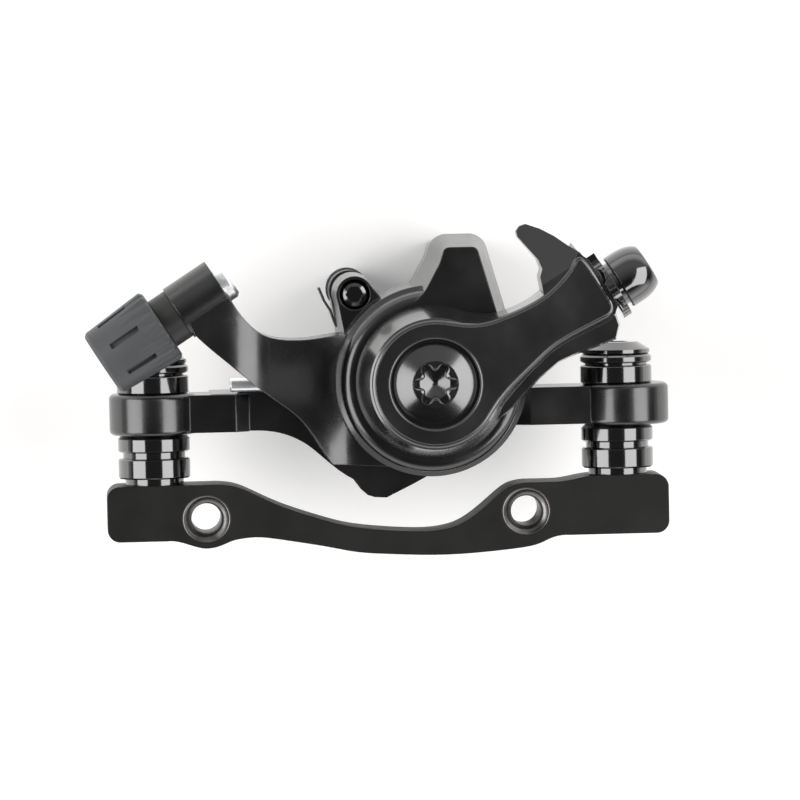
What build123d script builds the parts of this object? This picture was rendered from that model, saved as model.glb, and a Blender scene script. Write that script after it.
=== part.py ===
"""Cable-pull disc brake caliper for a bicycle, on its frame-mount adapter.

Millimetres. The frame: X to the right and Z up as seen from the side of the arm, Y away from
that side, towards the wheel. The origin is midway between the adapter's two frame-bolt holes,
on the face that meets the frame's tabs.
"""
from build123d import *
import math
import os

os.makedirs("parts", exist_ok=True)

# Frame and post interfaces
frame_hole_spacing = 51.0
frame_hole_radius = 2.5
frame_hole_entry_radius = 3.85
post_spacing = 74.2
post_middle_x = 3.55
adapter_thickness = 10.0
post_axis_to_rotor = 14.35
post_axis_y = adapter_thickness / 2
post_left_x = post_middle_x - post_spacing / 2
post_right_x = post_middle_x + post_spacing / 2
rotor_y = post_axis_y + post_axis_to_rotor

# General fits
running_clearance = 0.05
loose_clearance = 0.25
seat_clearance = 0.02
cut_overrun = 1.0
soft_edge = 0.5

# Hub, measured from the origin
hub_x = 10.6
hub_z = 21.3
hub_plane = Plane(origin=(hub_x, 0, hub_z), x_dir=(1, 0, 0), z_dir=(0, 0, 1))
hub_axis = Axis((hub_x, 0, hub_z), (0, 1, 0))

# Depths through the caliper, from the arm's face to the inboard cover
body_front_y = -6.0
arm_gap = 0.5
arm_thickness = 8.0
arm_back_y = body_front_y - arm_gap
arm_front_y = arm_back_y - arm_thickness
arm_middle_y = (arm_back_y + arm_front_y) / 2
slot_width = 5.0
outboard_wall_y = rotor_y - slot_width / 2
inboard_wall_y = rotor_y + slot_width / 2
body_back_y = 36.0
parting_y = 3.0

# Brake pads
pad_gap = 4.4
lining_thickness = 2.0
plate_thickness = 2.0
pad_back_offset = pad_gap / 2 + lining_thickness + plate_thickness
outboard_pad_back_y = rotor_y - pad_back_offset
inboard_pad_back_y = rotor_y + pad_back_offset
pad_width = 25.0
pad_height = 16.0
pad_corner_radius = 2.5
pad_tab_radius = 3.3
lining_inset = 1.6

# Pad axle
axle_x = -1.0
axle_z = 35.0
axle_radius = 2.0

# Mechanism
spindle_radius = 5.0
bearing_bore_radius = 11.0
chamber_radius = 9.8
ball_radius = 2.0
ball_pitch_radius = 6.3
ball_count = 3
ramp_travel_deg = 40.0
ramp_rise = 1.7


def front(y):
    """Plane at depth y that faces the viewer: its x is X and its y is Z."""
    return Plane.XZ.offset(-y)


def placed(shares, middle_x, middle_z, size):
    """Outline points given as shares of one size around a middle."""
    return [(middle_x + size * share_x, middle_z + size * share_z) for share_x, share_z in shares]


def outline(points):
    """Face inside a closed outline of straight runs."""
    return Polygon(*points, align=None)


def finish(piece, name):
    """Label a finished piece and write its file."""
    piece.part.label = name
    export_step(piece.part, "parts/" + name + ".step")


# Mount adapter: one bar with two threaded posts and two threaded frame holes
adapter_post_top = 5.4
adapter_block_bottom = -4.0
adapter_end_overhang = 7.7
adapter_corner_radius = 2.0
adapter_boss_share = 0.843
adapter_boss_end_share = 0.2
adapter_step_end_share = 0.5
adapter_right_low_share = 0.3
adapter_left_low_share = 0.4
adapter_left_bottom_share = 0.86
post_bolt_radius = 3.0

adapter_left_x = post_left_x - adapter_end_overhang
adapter_right_x = post_right_x + adapter_end_overhang
adapter_half = frame_hole_spacing / 2
adapter_left_room = -adapter_half - adapter_left_x
adapter_right_room = adapter_right_x - adapter_half
adapter_top_shares = [(-0.98, 1.0), (-0.9, 0.995), (-0.808, 0.917), (-0.702, 0.702), (-0.592, 0.444)]
adapter_top_shares += [(-0.459, 0.185), (-0.298, -0.074), (-0.137, -0.296), (0.067, -0.444)]
adapter_top_shares += [(0.255, -0.515), (0.443, -0.505), (0.592, -0.324), (0.675, -0.083)]
adapter_top_shares += [(0.757, 0.222), (0.841, 0.556), (0.898, 0.731), (0.96, 0.82), (1.04, 0.843)]
adapter_bottom_shares = [(1.21, -1.01), (1.155, -1.095), (1.085, -1.29), (0.976, -1.448), (0.879, -1.515)]
adapter_bottom_shares += [(0.635, -1.633), (0.391, -1.658), (0.147, -1.585), (-0.095, -1.438)]
adapter_bottom_shares += [(-0.228, -1.258), (-0.43, -1.018), (-0.592, -0.843), (-0.70, -0.783)]
adapter_bottom_shares += [(-0.768, -0.815), (-0.836, -0.893), (-0.918, -1.095), (-1.013, -1.183)]
adapter_bottom_shares += [(-1.107, -1.03), (-1.18, -0.89)]

with BuildPart() as mount_adapter:
    with BuildSketch(front(adapter_thickness)) as adapter_face:
        with BuildLine():
            top_curve = [(adapter_half * sx, adapter_post_top * sz) for sx, sz in adapter_top_shares]
            low_curve = [
                (adapter_half * sx, -adapter_block_bottom * sz) for sx, sz in adapter_bottom_shares
            ]
            boss_z = adapter_post_top * adapter_boss_share
            boss_end = (adapter_half + adapter_right_room * adapter_boss_end_share, boss_z)
            step_end = (adapter_half + adapter_right_room * adapter_step_end_share, adapter_post_top)
            right_low = (
                adapter_half + adapter_right_room * adapter_right_low_share,
                adapter_block_bottom,
            )
            left_bottom_z = adapter_block_bottom * adapter_left_bottom_share
            left_low = (-adapter_half - adapter_left_room * adapter_left_low_share, left_bottom_z)
            Spline(*top_curve)
            Line(top_curve[-1], boss_end)
            Spline(boss_end, step_end, tangents=[(1, 0), (1, 0)])
            Polyline(
                step_end,
                (adapter_right_x, adapter_post_top),
                (adapter_right_x, adapter_block_bottom),
                right_low,
            )
            Spline(right_low, *low_curve, left_low)
            Polyline(
                left_low,
                (adapter_left_x, left_bottom_z),
                (adapter_left_x, adapter_post_top),
                top_curve[0],
            )
        make_face()
        ends = adapter_face.vertices().group_by(Axis.X)[0] + adapter_face.vertices().group_by(Axis.X)[-1]
        fillet(ends, radius=adapter_corner_radius)
    extrude(amount=adapter_thickness)
    with Locations(front(0)):
        with GridLocations(frame_hole_spacing, 0, 2, 1):
            CounterSinkHole(
                radius=frame_hole_radius,
                counter_sink_radius=frame_hole_entry_radius,
                counter_sink_angle=90,
            )
    with Locations(
        (post_left_x, post_axis_y, adapter_post_top), (post_right_x, post_axis_y, adapter_post_top)
    ):
        Hole(radius=post_bolt_radius + running_clearance)
finish(mount_adapter, "mount_adapter")

# Post stacks: a low-headed bolt through pairs of spherical washers above and below each ear
ear_bottom_z = 13.4
ear_thickness = 6.5
ear_top_z = ear_bottom_z + ear_thickness
washer_radius = 5.75
washer_hole_radius = 3.4
washer_ball_radius = 8.0
washer_cup_lip = 0.6
washer_neck_gap = 0.15
upper_cup_thickness = 2.95
upper_rim_gap = 0.35
upper_ball_thickness = 1.9
lower_cup_thickness = 3.25
lower_rim_gap = 0.95
lower_foot_height = 1.05
lower_foot_radius = 4.7
washer_rounding = 0.6
bolt_head_radius = 5.5
bolt_head_top_radius = 3.6
bolt_head_height = 1.75
bolt_head_rim_height = 0.58
bolt_socket_width = 4.0
bolt_socket_depth = 2.6
post_bolt_length = 28.0

upper_cup_top_z = ear_top_z + seat_clearance + upper_cup_thickness
bolt_seat_z = upper_cup_top_z + upper_ball_thickness
lower_cup_top_z = adapter_post_top + lower_foot_height + lower_cup_thickness
cup_rim_radius = washer_radius - washer_cup_lip
ball_neck_radius = cup_rim_radius - washer_neck_gap
ball_centre_rise = math.sqrt(washer_ball_radius**2 - cup_rim_radius**2)


def spherical_pair(name_cup, name_ball, cup_low_z, cup_top_z, ball_top_z, foot_height, rim_gap):
    """A cup washer and the ball washer that sits in it, one of each on both posts."""
    sphere_z = cup_top_z + ball_centre_rise
    hole_drop = sphere_z - math.sqrt(washer_ball_radius**2 - washer_hole_radius**2)
    with BuildPart() as cup:
        for post_x in (post_left_x, post_right_x):
            side = Plane(origin=(post_x, post_axis_y, 0), x_dir=(1, 0, 0), z_dir=(0, -1, 0))
            with BuildSketch(side):
                with BuildLine():
                    Polyline(
                        (washer_hole_radius, hole_drop),
                        (washer_hole_radius, cup_low_z),
                        (lower_foot_radius, cup_low_z),
                        (lower_foot_radius, cup_low_z + foot_height),
                        (washer_radius - soft_edge / 2, cup_low_z + foot_height),
                        (washer_radius, cup_low_z + foot_height + soft_edge / 2),
                        (washer_radius, cup_top_z - soft_edge / 2),
                        (washer_radius - soft_edge / 2, cup_top_z),
                        (cup_rim_radius, cup_top_z),
                    )
                    RadiusArc(
                        (cup_rim_radius, cup_top_z), (washer_hole_radius, hole_drop), washer_ball_radius
                    )
                make_face()
            revolve(axis=Axis((post_x, post_axis_y, 0), (0, 0, 1)))
    finish(cup, name_cup)
    inner_radius = washer_ball_radius - seat_clearance
    ball_hole_drop = sphere_z - math.sqrt(inner_radius**2 - washer_hole_radius**2)
    ball_rim_z = cup_top_z + rim_gap
    ball_neck_z = sphere_z - math.sqrt(inner_radius**2 - ball_neck_radius**2)
    with BuildPart() as ball:
        for post_x in (post_left_x, post_right_x):
            side = Plane(origin=(post_x, post_axis_y, 0), x_dir=(1, 0, 0), z_dir=(0, -1, 0))
            with BuildSketch(side):
                with BuildLine():
                    RadiusArc(
                        (ball_neck_radius, ball_neck_z), (washer_hole_radius, ball_hole_drop), inner_radius
                    )
                    Polyline(
                        (washer_hole_radius, ball_hole_drop),
                        (washer_hole_radius, ball_top_z),
                        (washer_radius - washer_rounding, ball_top_z),
                        (washer_radius, ball_top_z - washer_rounding),
                        (washer_radius, ball_rim_z + soft_edge / 2),
                        (washer_radius - soft_edge / 2, ball_rim_z),
                        (ball_neck_radius, ball_rim_z),
                        (ball_neck_radius, ball_neck_z),
                    )
                make_face()
            revolve(axis=Axis((post_x, post_axis_y, 0), (0, 0, 1)))
    finish(ball, name_ball)


spherical_pair(
    "upper_cup_washers",
    "upper_ball_washers",
    ear_top_z + seat_clearance,
    upper_cup_top_z,
    bolt_seat_z,
    seat_clearance,
    upper_rim_gap,
)
spherical_pair(
    "lower_cup_washers",
    "lower_ball_washers",
    adapter_post_top,
    lower_cup_top_z,
    ear_bottom_z - seat_clearance,
    lower_foot_height,
    lower_rim_gap,
)

with BuildPart() as post_bolts:
    for post_x in (post_left_x, post_right_x):
        side = Plane(origin=(post_x, post_axis_y, 0), x_dir=(1, 0, 0), z_dir=(0, -1, 0))
        with BuildSketch(side):
            outline([
                (0, bolt_seat_z + bolt_head_height),
                (bolt_head_top_radius, bolt_seat_z + bolt_head_height),
                (bolt_head_radius, bolt_seat_z + bolt_head_rim_height),
                (bolt_head_radius, bolt_seat_z),
                (post_bolt_radius, bolt_seat_z),
                (post_bolt_radius, bolt_seat_z - post_bolt_length + soft_edge),
                (post_bolt_radius - soft_edge, bolt_seat_z - post_bolt_length),
                (0, bolt_seat_z - post_bolt_length),
            ])
        revolve(axis=Axis((post_x, post_axis_y, 0), (0, 0, 1)))
        with BuildSketch(Plane((post_x, post_axis_y, bolt_seat_z + bolt_head_height))):
            RegularPolygon(radius=bolt_socket_width / 2, side_count=6, major_radius=False)
        extrude(amount=-bolt_socket_depth, mode=Mode.SUBTRACT)
finish(post_bolts, "post_bolts")

# Barrel adjuster line: the cable enters along it, in the plane of the arm
barrel_y = arm_middle_y
barrel_boss_x = -26.053
barrel_boss_z = 35.305
barrel_angle_deg = 32.5
barrel_boss_radius = 4.55
barrel_boss_length = 7.9
barrel_thread_radius = 3.0
barrel_cosine = math.cos(math.radians(barrel_angle_deg))
barrel_sine = math.sin(math.radians(barrel_angle_deg))
barrel_direction = (barrel_cosine, 0, barrel_sine)
barrel_middle = (barrel_boss_x, barrel_y, barrel_boss_z)
barrel_plane = Plane(origin=barrel_middle, x_dir=(-barrel_sine, 0, barrel_cosine), z_dir=(0, 1, 0))
barrel_axis = Axis(barrel_middle, barrel_direction)


def across_barrel(distance):
    """Plane square to the barrel line, at a distance along it from the boss's middle."""
    origin = (
        barrel_boss_x + distance * barrel_cosine,
        barrel_y,
        barrel_boss_z + distance * barrel_sine,
    )
    return Plane(origin=origin, x_dir=(0, 1, 0), z_dir=barrel_direction)


# Caliper body: one casting with a hub drum, two slotted ears, a bridge over the rotor,
# an inboard cover, a pair of pad-axle lugs and an arm that carries the cable boss
drum_radius = 14.4
drum_bevel = 1.7
drum_shoulder_radius = 15.2
drum_shoulder_y = -3.6
web_front_y = 2.4
ear_radius = 7.0
ear_slide = 1.5
ear_slot_width = 6.5
right_ear_offset = 1.3
mount_arm_front_y = 1.0
mount_arm_back_y = 12.0
mount_arm_bottom_z = 13.65
mount_arm_height = 6.0
mount_arm_slope_share = 0.14
left_arm_share = -1.9
right_arm_share = 0.9
bridge_base_width = 21.8
bridge_top_z = 44.4
bridge_foot_z = 26.0
bridge_front_draft_deg = 12.0
bridge_back_draft_deg = 3.0
slot_top_z = 31.2
lug_radius = 3.5
lug_draft_deg = 2.5
lug_rear_radius = 3.2
lug_front_y = 4.0
lug_back_y = 33.0
cover_radius = 13.2
cover_bevel = 1.5
key_width = 3.0
key_height = 1.1
adjuster_radius = 8.0
cap_thickness = 5.6
cap_screw_radius = 1.1
cap_screw_depth = 4.4
axle_head_radius = 2.3
axle_head_depth = 2.6

ear_rounding = 0.8
crown_radius = 3.0
flank_radius = 5.0
bridge_middle_share = 0.128
rounding_share = 1 - math.sqrt(1 / 2)

bridge_height = bridge_top_z - bridge_foot_z
bridge_middle_x = hub_x + bridge_base_width * bridge_middle_share
bridge_shares = [(-0.5, 0), (-0.5, 0.288), (-0.243, 0.582), (-0.142, 0.80), (-0.087, 1.0)]
bridge_shares += [(0.28, 1.0), (0.519, 0)]
web_top_shares = [(0.5, -0.6), (-0.7, 0.38), (-1.5, 0.38), (-2.03, -0.105), (-2.3, -0.105)]
web_top_shares += [(-2.3, -0.503), (-2.145, -0.503)]
web_low_shares = [(-2.145, -0.503), (-1.883, -0.497), (-1.659, -0.512), (-1.473, -0.565)]
web_low_shares += [(-1.288, -0.668), (-1.141, -0.793), (-0.994, -0.919), (-0.827, -1.03)]
toe_shares = [(-0.827, -1.03), (-0.753, -1.132), (-0.676, -1.202), (-0.607, -1.226)]
toe_shares += [(-0.477, -1.234), (-0.361, -1.178), (-0.177, -1.089), (0.007, -0.991), (0.5, -0.6)]
boss_arm_top_shares = [(-0.6, 0.515), (-0.917, 0.504), (-1.048, 0.490), (-1.238, 0.470), (-1.426, 0.469)]
boss_arm_top_shares += [(-1.651, 0.501), (-1.80, 0.563), (-1.929, 0.68), (-2.021, 0.80), (-2.12, 0.97)]
boss_arm_end_shares = [(-2.12, 0.97), (-2.36, 1.03), (-2.62, 0.88), (-2.475, 0.567)]
boss_arm_low_shares = [(-2.475, 0.567), (-2.257, 0.365), (-2.092, 0.225), (-1.946, 0.096)]
boss_arm_low_shares += [(-1.63, -0.156), (-1.445, -0.303), (-1.298, -0.469), (-1.187, -0.643)]
boss_arm_low_shares += [(-1.05, -0.85)]
boss_arm_root_shares = [(-1.05, -0.85), (-0.3, -0.9), (0.15, 0.45), (-0.6, 0.515)]
arm_face_shares = [(-2.2, 0.0), (-1.55, 0.58), (-1.0, 1.34), (-0.3, 1.38)]
arm_rear_shares = [(-0.3, 2.6), (-1.25, 2.3), (-1.55, 1.75), (-2.05, 0.98), (-2.9, 0.92)]
lug_inner_share = 0.333
lug_web_share = 0.8
lug_side_shares = [(1.6, -0.4), (0.7, 0.7)]
boss_arm_front_y = barrel_y - barrel_boss_radius + soft_edge
boss_arm_depth = body_front_y - boss_arm_front_y


def arm_face_points(shares):
    """Points of the boss arm's plan outline: across in drum sizes, in depth from the arm's face."""
    return [
        (hub_x + drum_shoulder_radius * share_x, boss_arm_front_y + boss_arm_depth * share_y)
        for share_x, share_y in shares
    ]


with BuildPart() as boss_arm:
    with BuildSketch(front(mount_arm_back_y)):
        with BuildLine():
            Spline(*placed(boss_arm_top_shares, hub_x, hub_z, drum_shoulder_radius))
            Polyline(*placed(boss_arm_end_shares, hub_x, hub_z, drum_shoulder_radius))
            Spline(*placed(boss_arm_low_shares, hub_x, hub_z, drum_shoulder_radius))
            Polyline(*placed(boss_arm_root_shares, hub_x, hub_z, drum_shoulder_radius))
        make_face()
    extrude(amount=mount_arm_back_y - boss_arm_front_y)
    with BuildSketch(Plane.XY):
        with BuildLine():
            face_line = arm_face_points(arm_face_shares)
            rear_line = arm_face_points(arm_rear_shares)
            far_corner = (rear_line[-1][0], boss_arm_front_y)
            Spline(*face_line, tangents=[(1, 0), (1, 0)])
            Line(face_line[-1], rear_line[0])
            Spline(*rear_line)
            Polyline(rear_line[-1], far_corner, face_line[0])
        make_face()
    extrude(amount=bridge_top_z + cut_overrun, mode=Mode.INTERSECT)

with BuildPart() as ear:
    with BuildSketch(Plane.XY.offset(ear_bottom_z)):
        with Locations((0, post_axis_y + ear_slide / 2)):
            SlotCenterToCenter(ear_slide, 2 * ear_radius, rotation=90)
    extrude(amount=ear_thickness)
    fillet(ear.edges().filter_by(Plane.XY), radius=ear_rounding)


def pad_outline(margin):
    """Pad plate outline, with its tab over the pad axle, grown by a margin."""
    with Locations((hub_x, hub_z)):
        RectangleRounded(
            pad_width + 2 * margin, pad_height + 2 * margin, pad_corner_radius + margin
        )
    outline([
        (axle_x - pad_tab_radius - margin, axle_z),
        (hub_x - pad_width / 2 - margin, hub_z + pad_height / 4),
        (hub_x, hub_z + pad_height / 2 + margin),
        (axle_x + pad_tab_radius + margin, axle_z),
    ])
    with Locations((axle_x, axle_z)):
        Circle(pad_tab_radius + margin)


with BuildPart() as caliper_body:
    # Hub drum, with a stepped and bevelled rim
    with BuildSketch(hub_plane):
        with BuildLine():
            ThreePointArc(
                (drum_radius - drum_bevel, body_front_y),
                (drum_radius - drum_bevel * rounding_share, body_front_y + drum_bevel * rounding_share),
                (drum_radius, body_front_y + drum_bevel),
            )
            Polyline(
                (drum_radius, body_front_y + drum_bevel),
                (drum_radius, drum_shoulder_y),
                (drum_shoulder_radius, drum_shoulder_y + soft_edge),
                (drum_shoulder_radius, outboard_wall_y),
                (0, outboard_wall_y),
                (0, body_front_y),
                (drum_radius - drum_bevel, body_front_y),
            )
        make_face()
    revolve(axis=hub_axis)
    # Web to the left ear, with the toe below it
    with BuildSketch(front(outboard_wall_y)):
        with BuildLine():
            Polyline(*placed(web_top_shares, hub_x, hub_z, drum_shoulder_radius))
            Spline(*placed(web_low_shares, hub_x, hub_z, drum_shoulder_radius))
            Polyline(*placed(toe_shares, hub_x, hub_z, drum_shoulder_radius))
        make_face()
    extrude(amount=outboard_wall_y - web_front_y)
    add(boss_arm.part)
    # Mount arms and ears
    for post_x, inner_share, ear_offset in (
        (post_left_x, left_arm_share, 0), (post_right_x, right_arm_share, right_ear_offset)
    ):
        inner_x = hub_x + drum_shoulder_radius * inner_share
        slope_x = inner_x + (post_x - inner_x) * mount_arm_slope_share
        with BuildSketch(Plane.XY.offset(mount_arm_bottom_z)):
            outline([
                (post_x, mount_arm_front_y),
                (slope_x, mount_arm_front_y),
                (inner_x, web_front_y),
                (inner_x, mount_arm_back_y),
                (post_x, mount_arm_back_y),
            ])
        extrude(amount=mount_arm_height)
        with Locations((post_x + ear_offset, 0, 0)):
            add(ear.part)
    # Bridge over the rotor, drafted both ways from the parting line
    bridge_points = [
        (bridge_middle_x + bridge_base_width * share_x, bridge_foot_z + bridge_height * share_z)
        for share_x, share_z in bridge_shares
    ]
    for depth, draft in (
        (parting_y - body_front_y, bridge_front_draft_deg),
        (parting_y - body_back_y, bridge_back_draft_deg),
    ):
        with BuildSketch(front(parting_y)) as bridge_face:
            outline(bridge_points)
            crown = bridge_face.vertices().group_by(Axis.Z)[-1]
            fillet(crown, radius=crown_radius)
            flank = bridge_face.vertices().group_by(Axis.Z)[2:4]
            fillet([corner for level in flank for corner in level], radius=flank_radius)
        extrude(amount=depth, taper=draft)
    # Inboard cover
    with BuildSketch(hub_plane):
        outline([
            (0, inboard_wall_y),
            (cover_radius, inboard_wall_y),
            (cover_radius, body_back_y - cover_bevel),
            (cover_radius - cover_bevel, body_back_y),
            (0, body_back_y),
        ])
    revolve(axis=hub_axis)
    # Pad-axle lugs, one on each side of the rotor
    for back_y, front_y, radius, draft in (
        (outboard_wall_y, lug_front_y, lug_radius, lug_draft_deg),
        (lug_back_y, inboard_wall_y, lug_rear_radius, 0),
    ):
        with BuildSketch(front(back_y)):
            outline([
                (axle_x - radius, axle_z),
                (axle_x - radius / 2, hub_z + cover_radius * lug_inner_share),
                (hub_x, hub_z + cover_radius * lug_inner_share),
                (hub_x, hub_z + cover_radius * lug_web_share),
                *placed(lug_side_shares, axle_x, axle_z, radius),
            ])
            with Locations((axle_x, axle_z)):
                Circle(radius)
        extrude(amount=back_y - front_y, taper=draft)
    # Cable boss at the end of its arm
    with BuildSketch(across_barrel(-barrel_boss_length / 2)):
        Circle(barrel_boss_radius)
    extrude(amount=barrel_boss_length)
    # Rotor slot and pad pockets, open towards the wheel's axle
    with BuildSketch(front(inboard_wall_y)):
        with Locations((hub_x, (slot_top_z + mount_arm_bottom_z) / 2 - drum_radius)):
            Rectangle(post_spacing * 2, slot_top_z - mount_arm_bottom_z + 2 * drum_radius)
    extrude(amount=slot_width, mode=Mode.SUBTRACT)
    with BuildSketch(front(inboard_pad_back_y + running_clearance)):
        pad_outline(loose_clearance)
        with Locations((hub_x, hub_z - drum_shoulder_radius)):
            Rectangle(pad_width + 2 * loose_clearance, 2 * drum_shoulder_radius)
    extrude(
        amount=inboard_pad_back_y - outboard_pad_back_y + 2 * running_clearance, mode=Mode.SUBTRACT
    )
    # Mechanism bores, keyway and adjuster bore
    with BuildSketch(hub_plane):
        outline([
            (0, body_front_y - cut_overrun),
            (bearing_bore_radius, body_front_y - cut_overrun),
            (bearing_bore_radius, body_front_y + cap_thickness),
            (chamber_radius, body_front_y + cap_thickness),
            (chamber_radius, outboard_wall_y),
            (0, outboard_wall_y),
        ])
    revolve(axis=hub_axis, mode=Mode.SUBTRACT)
    with BuildSketch(front(outboard_wall_y)):
        with Locations((hub_x, hub_z - chamber_radius)):
            Rectangle(key_width + 2 * running_clearance, 2 * (key_height + running_clearance))
    extrude(amount=outboard_wall_y - body_front_y - cap_thickness, mode=Mode.SUBTRACT)
    with BuildSketch(front(body_back_y)):
        with Locations((hub_x, hub_z)):
            Circle(adjuster_radius + running_clearance)
    extrude(amount=body_back_y - inboard_wall_y, mode=Mode.SUBTRACT)
    # Slotted bolt holes in the ears
    for post_x in (post_left_x, post_right_x):
        with BuildSketch(Plane.XY.offset(ear_bottom_z)):
            with Locations((post_x, post_axis_y)):
                SlotCenterToCenter(2 * ear_slide, ear_slot_width, rotation=90)
        extrude(amount=ear_thickness, mode=Mode.SUBTRACT)
    # Threaded hole of the cable boss
    with BuildSketch(across_barrel(-barrel_boss_length / 2 - cut_overrun)):
        Circle(barrel_thread_radius + running_clearance)
    extrude(amount=barrel_boss_length + 2 * cut_overrun, mode=Mode.SUBTRACT)
    # Pad axle: head recess outboard, plain hole, thread inboard
    with BuildSketch(front(lug_front_y + axle_head_depth)):
        with Locations((axle_x, axle_z)):
            Circle(axle_head_radius + loose_clearance / 2)
    extrude(amount=axle_head_depth, mode=Mode.SUBTRACT)
    with BuildSketch(front(lug_back_y)):
        with Locations((axle_x, axle_z)):
            Circle(axle_radius + running_clearance)
    extrude(amount=lug_back_y - lug_front_y, mode=Mode.SUBTRACT)
    # Radial hole of the screw that locks the bearing cap
    cap_screw_y = body_front_y + cap_screw_depth
    with BuildSketch(Plane(origin=(hub_x, cap_screw_y, hub_z), x_dir=(0, 1, 0), z_dir=(-1, 0, 0))):
        Circle(cap_screw_radius + seat_clearance)
    extrude(amount=3 * drum_shoulder_radius, mode=Mode.SUBTRACT)
finish(caliper_body, "caliper_body")

# Bearing cap: closes the front of the hub bore, carries the spindle and half the spring's pocket
cap_front_step = 0.2
spring_pocket_inner_radius = 6.4
spring_pocket_outer_radius = 9.9
cap_pocket_depth = 2.8
arm_pocket_depth = 1.6
spring_wire = 0.9
spring_turns = 2.75
spring_leg = 1.4
spring_start_deg = 200.0

spring_radius = (spring_pocket_inner_radius + spring_pocket_outer_radius) / 2
cap_front_y = body_front_y + cap_front_step
cap_back_y = body_front_y + cap_thickness
cap_pocket_y = cap_front_y + cap_pocket_depth
arm_pocket_y = arm_back_y - arm_pocket_depth
spring_front_y = arm_pocket_y + spring_wire / 2 + loose_clearance
spring_rear_y = cap_pocket_y - spring_wire / 2 - loose_clearance
spring_pitch = (spring_rear_y - spring_front_y) / spring_turns
spring_end_deg = spring_start_deg - 360 * spring_turns


def around_hub(radius, angle_deg, y):
    """Point at a radius and angle about the hub's axis, at depth y."""
    turn = math.radians(angle_deg)
    return (hub_x + radius * math.cos(turn), y, hub_z + radius * math.sin(turn))


def turned_about_hub(angle_deg, y):
    """Plane across the hub's axis whose x points along an angle, and whose z points inboard."""
    turn = math.radians(angle_deg)
    return Plane(origin=(hub_x, y, hub_z), x_dir=(math.cos(turn), 0, math.sin(turn)), z_dir=(0, 1, 0))


with BuildPart() as bearing_cap:
    with BuildSketch(hub_plane):
        outline([
            (spindle_radius + running_clearance, cap_back_y),
            (spindle_radius + running_clearance, cap_front_y),
            (spring_pocket_inner_radius, cap_front_y),
            (spring_pocket_inner_radius, cap_pocket_y),
            (spring_pocket_outer_radius, cap_pocket_y),
            (spring_pocket_outer_radius, cap_front_y),
            (bearing_bore_radius - running_clearance, cap_front_y),
            (bearing_bore_radius - running_clearance, cap_back_y),
        ])
    revolve(axis=hub_axis)
    with BuildSketch(front(cap_pocket_y + spring_leg)):
        with Locations(around_hub(spring_radius, spring_end_deg, 0)[::2]):
            Circle(spring_wire / 2 + running_clearance)
    extrude(amount=spring_leg + cut_overrun, mode=Mode.SUBTRACT)
finish(bearing_cap, "bearing_cap")

# Return spring: torsion spring with one leg in the arm and one in the cap
spring_coil = turned_about_hub(spring_start_deg, spring_front_y) * Helix(
    pitch=spring_pitch, height=spring_rear_y - spring_front_y, radius=spring_radius
)
with BuildPart() as return_spring:
    with BuildSketch(Plane(origin=spring_coil @ 0, z_dir=spring_coil % 0)):
        Circle(spring_wire / 2)
    sweep(path=spring_coil, is_frenet=True)
    for leg_deg, leg_y, way in (
        (spring_start_deg, spring_front_y, -1),
        (spring_end_deg, spring_rear_y, 1),
    ):
        with BuildSketch(Plane(origin=around_hub(spring_radius, leg_deg, leg_y), z_dir=(0, way, 0))):
            Circle(spring_wire / 2)
        extrude(amount=spring_leg)
        with Locations(around_hub(spring_radius, leg_deg, leg_y)):
            Sphere(spring_wire / 2)
finish(return_spring, "return_spring")
print("return spring gap between turns", round(spring_pitch - spring_wire, 2), "mm")

# Screw that locks the bearing cap, with its end showing beside the drum
cap_screw_length = 21.0
cap_screw_socket_width = 1.5
cap_screw_socket_depth = 1.6
cap_screw_tip_x = hub_x - bearing_bore_radius + running_clearance - seat_clearance
cap_screw_axis = Axis((0, cap_screw_y, hub_z), (1, 0, 0))

with BuildPart() as cap_lock_screw:
    with BuildSketch(Plane(origin=(0, cap_screw_y, hub_z), x_dir=(1, 0, 0), z_dir=(0, -1, 0))):
        outline([
            (cap_screw_tip_x, 0),
            (cap_screw_tip_x, cap_screw_radius / 2),
            (cap_screw_tip_x - cap_screw_radius / 2, cap_screw_radius),
            (cap_screw_tip_x - cap_screw_length + soft_edge / 2, cap_screw_radius),
            (cap_screw_tip_x - cap_screw_length, cap_screw_radius - soft_edge / 2),
            (cap_screw_tip_x - cap_screw_length, 0),
        ])
    revolve(axis=cap_screw_axis)
    with BuildSketch(
        Plane(origin=(cap_screw_tip_x - cap_screw_length, cap_screw_y, hub_z), z_dir=(1, 0, 0))
    ):
        RegularPolygon(radius=cap_screw_socket_width / 2, side_count=6, major_radius=False)
    extrude(amount=cap_screw_socket_depth, mode=Mode.SUBTRACT)
finish(cap_lock_screw, "cap_lock_screw")

# Thrust bearing behind the cap: two washers and a cage of needles
thrust_washer_thickness = 0.7
thrust_inner_radius = 5.3
thrust_outer_radius = 9.5
needle_count = 16
needle_radius = 0.6
needle_length = 3.0
cage_thickness = 0.7

needle_y = cap_back_y + thrust_washer_thickness + running_clearance + needle_radius
flange_front_y = needle_y + needle_radius + running_clearance + thrust_washer_thickness
needle_middle_radius = (thrust_inner_radius + thrust_outer_radius) / 2

with BuildPart() as thrust_washers:
    for washer_back_y in (cap_back_y + thrust_washer_thickness, flange_front_y):
        with BuildSketch(front(washer_back_y)):
            with Locations((hub_x, hub_z)):
                Circle(thrust_outer_radius)
                Circle(thrust_inner_radius, mode=Mode.SUBTRACT)
        extrude(amount=thrust_washer_thickness)
finish(thrust_washers, "thrust_washers")

with BuildPart() as thrust_needles:
    with Locations(Plane(origin=(hub_x, needle_y, hub_z), x_dir=(1, 0, 0), z_dir=(0, 1, 0))):
        with PolarLocations(needle_middle_radius, needle_count):
            Cylinder(radius=needle_radius, height=needle_length, rotation=(0, 90, 0))
finish(thrust_needles, "thrust_needles")

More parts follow.
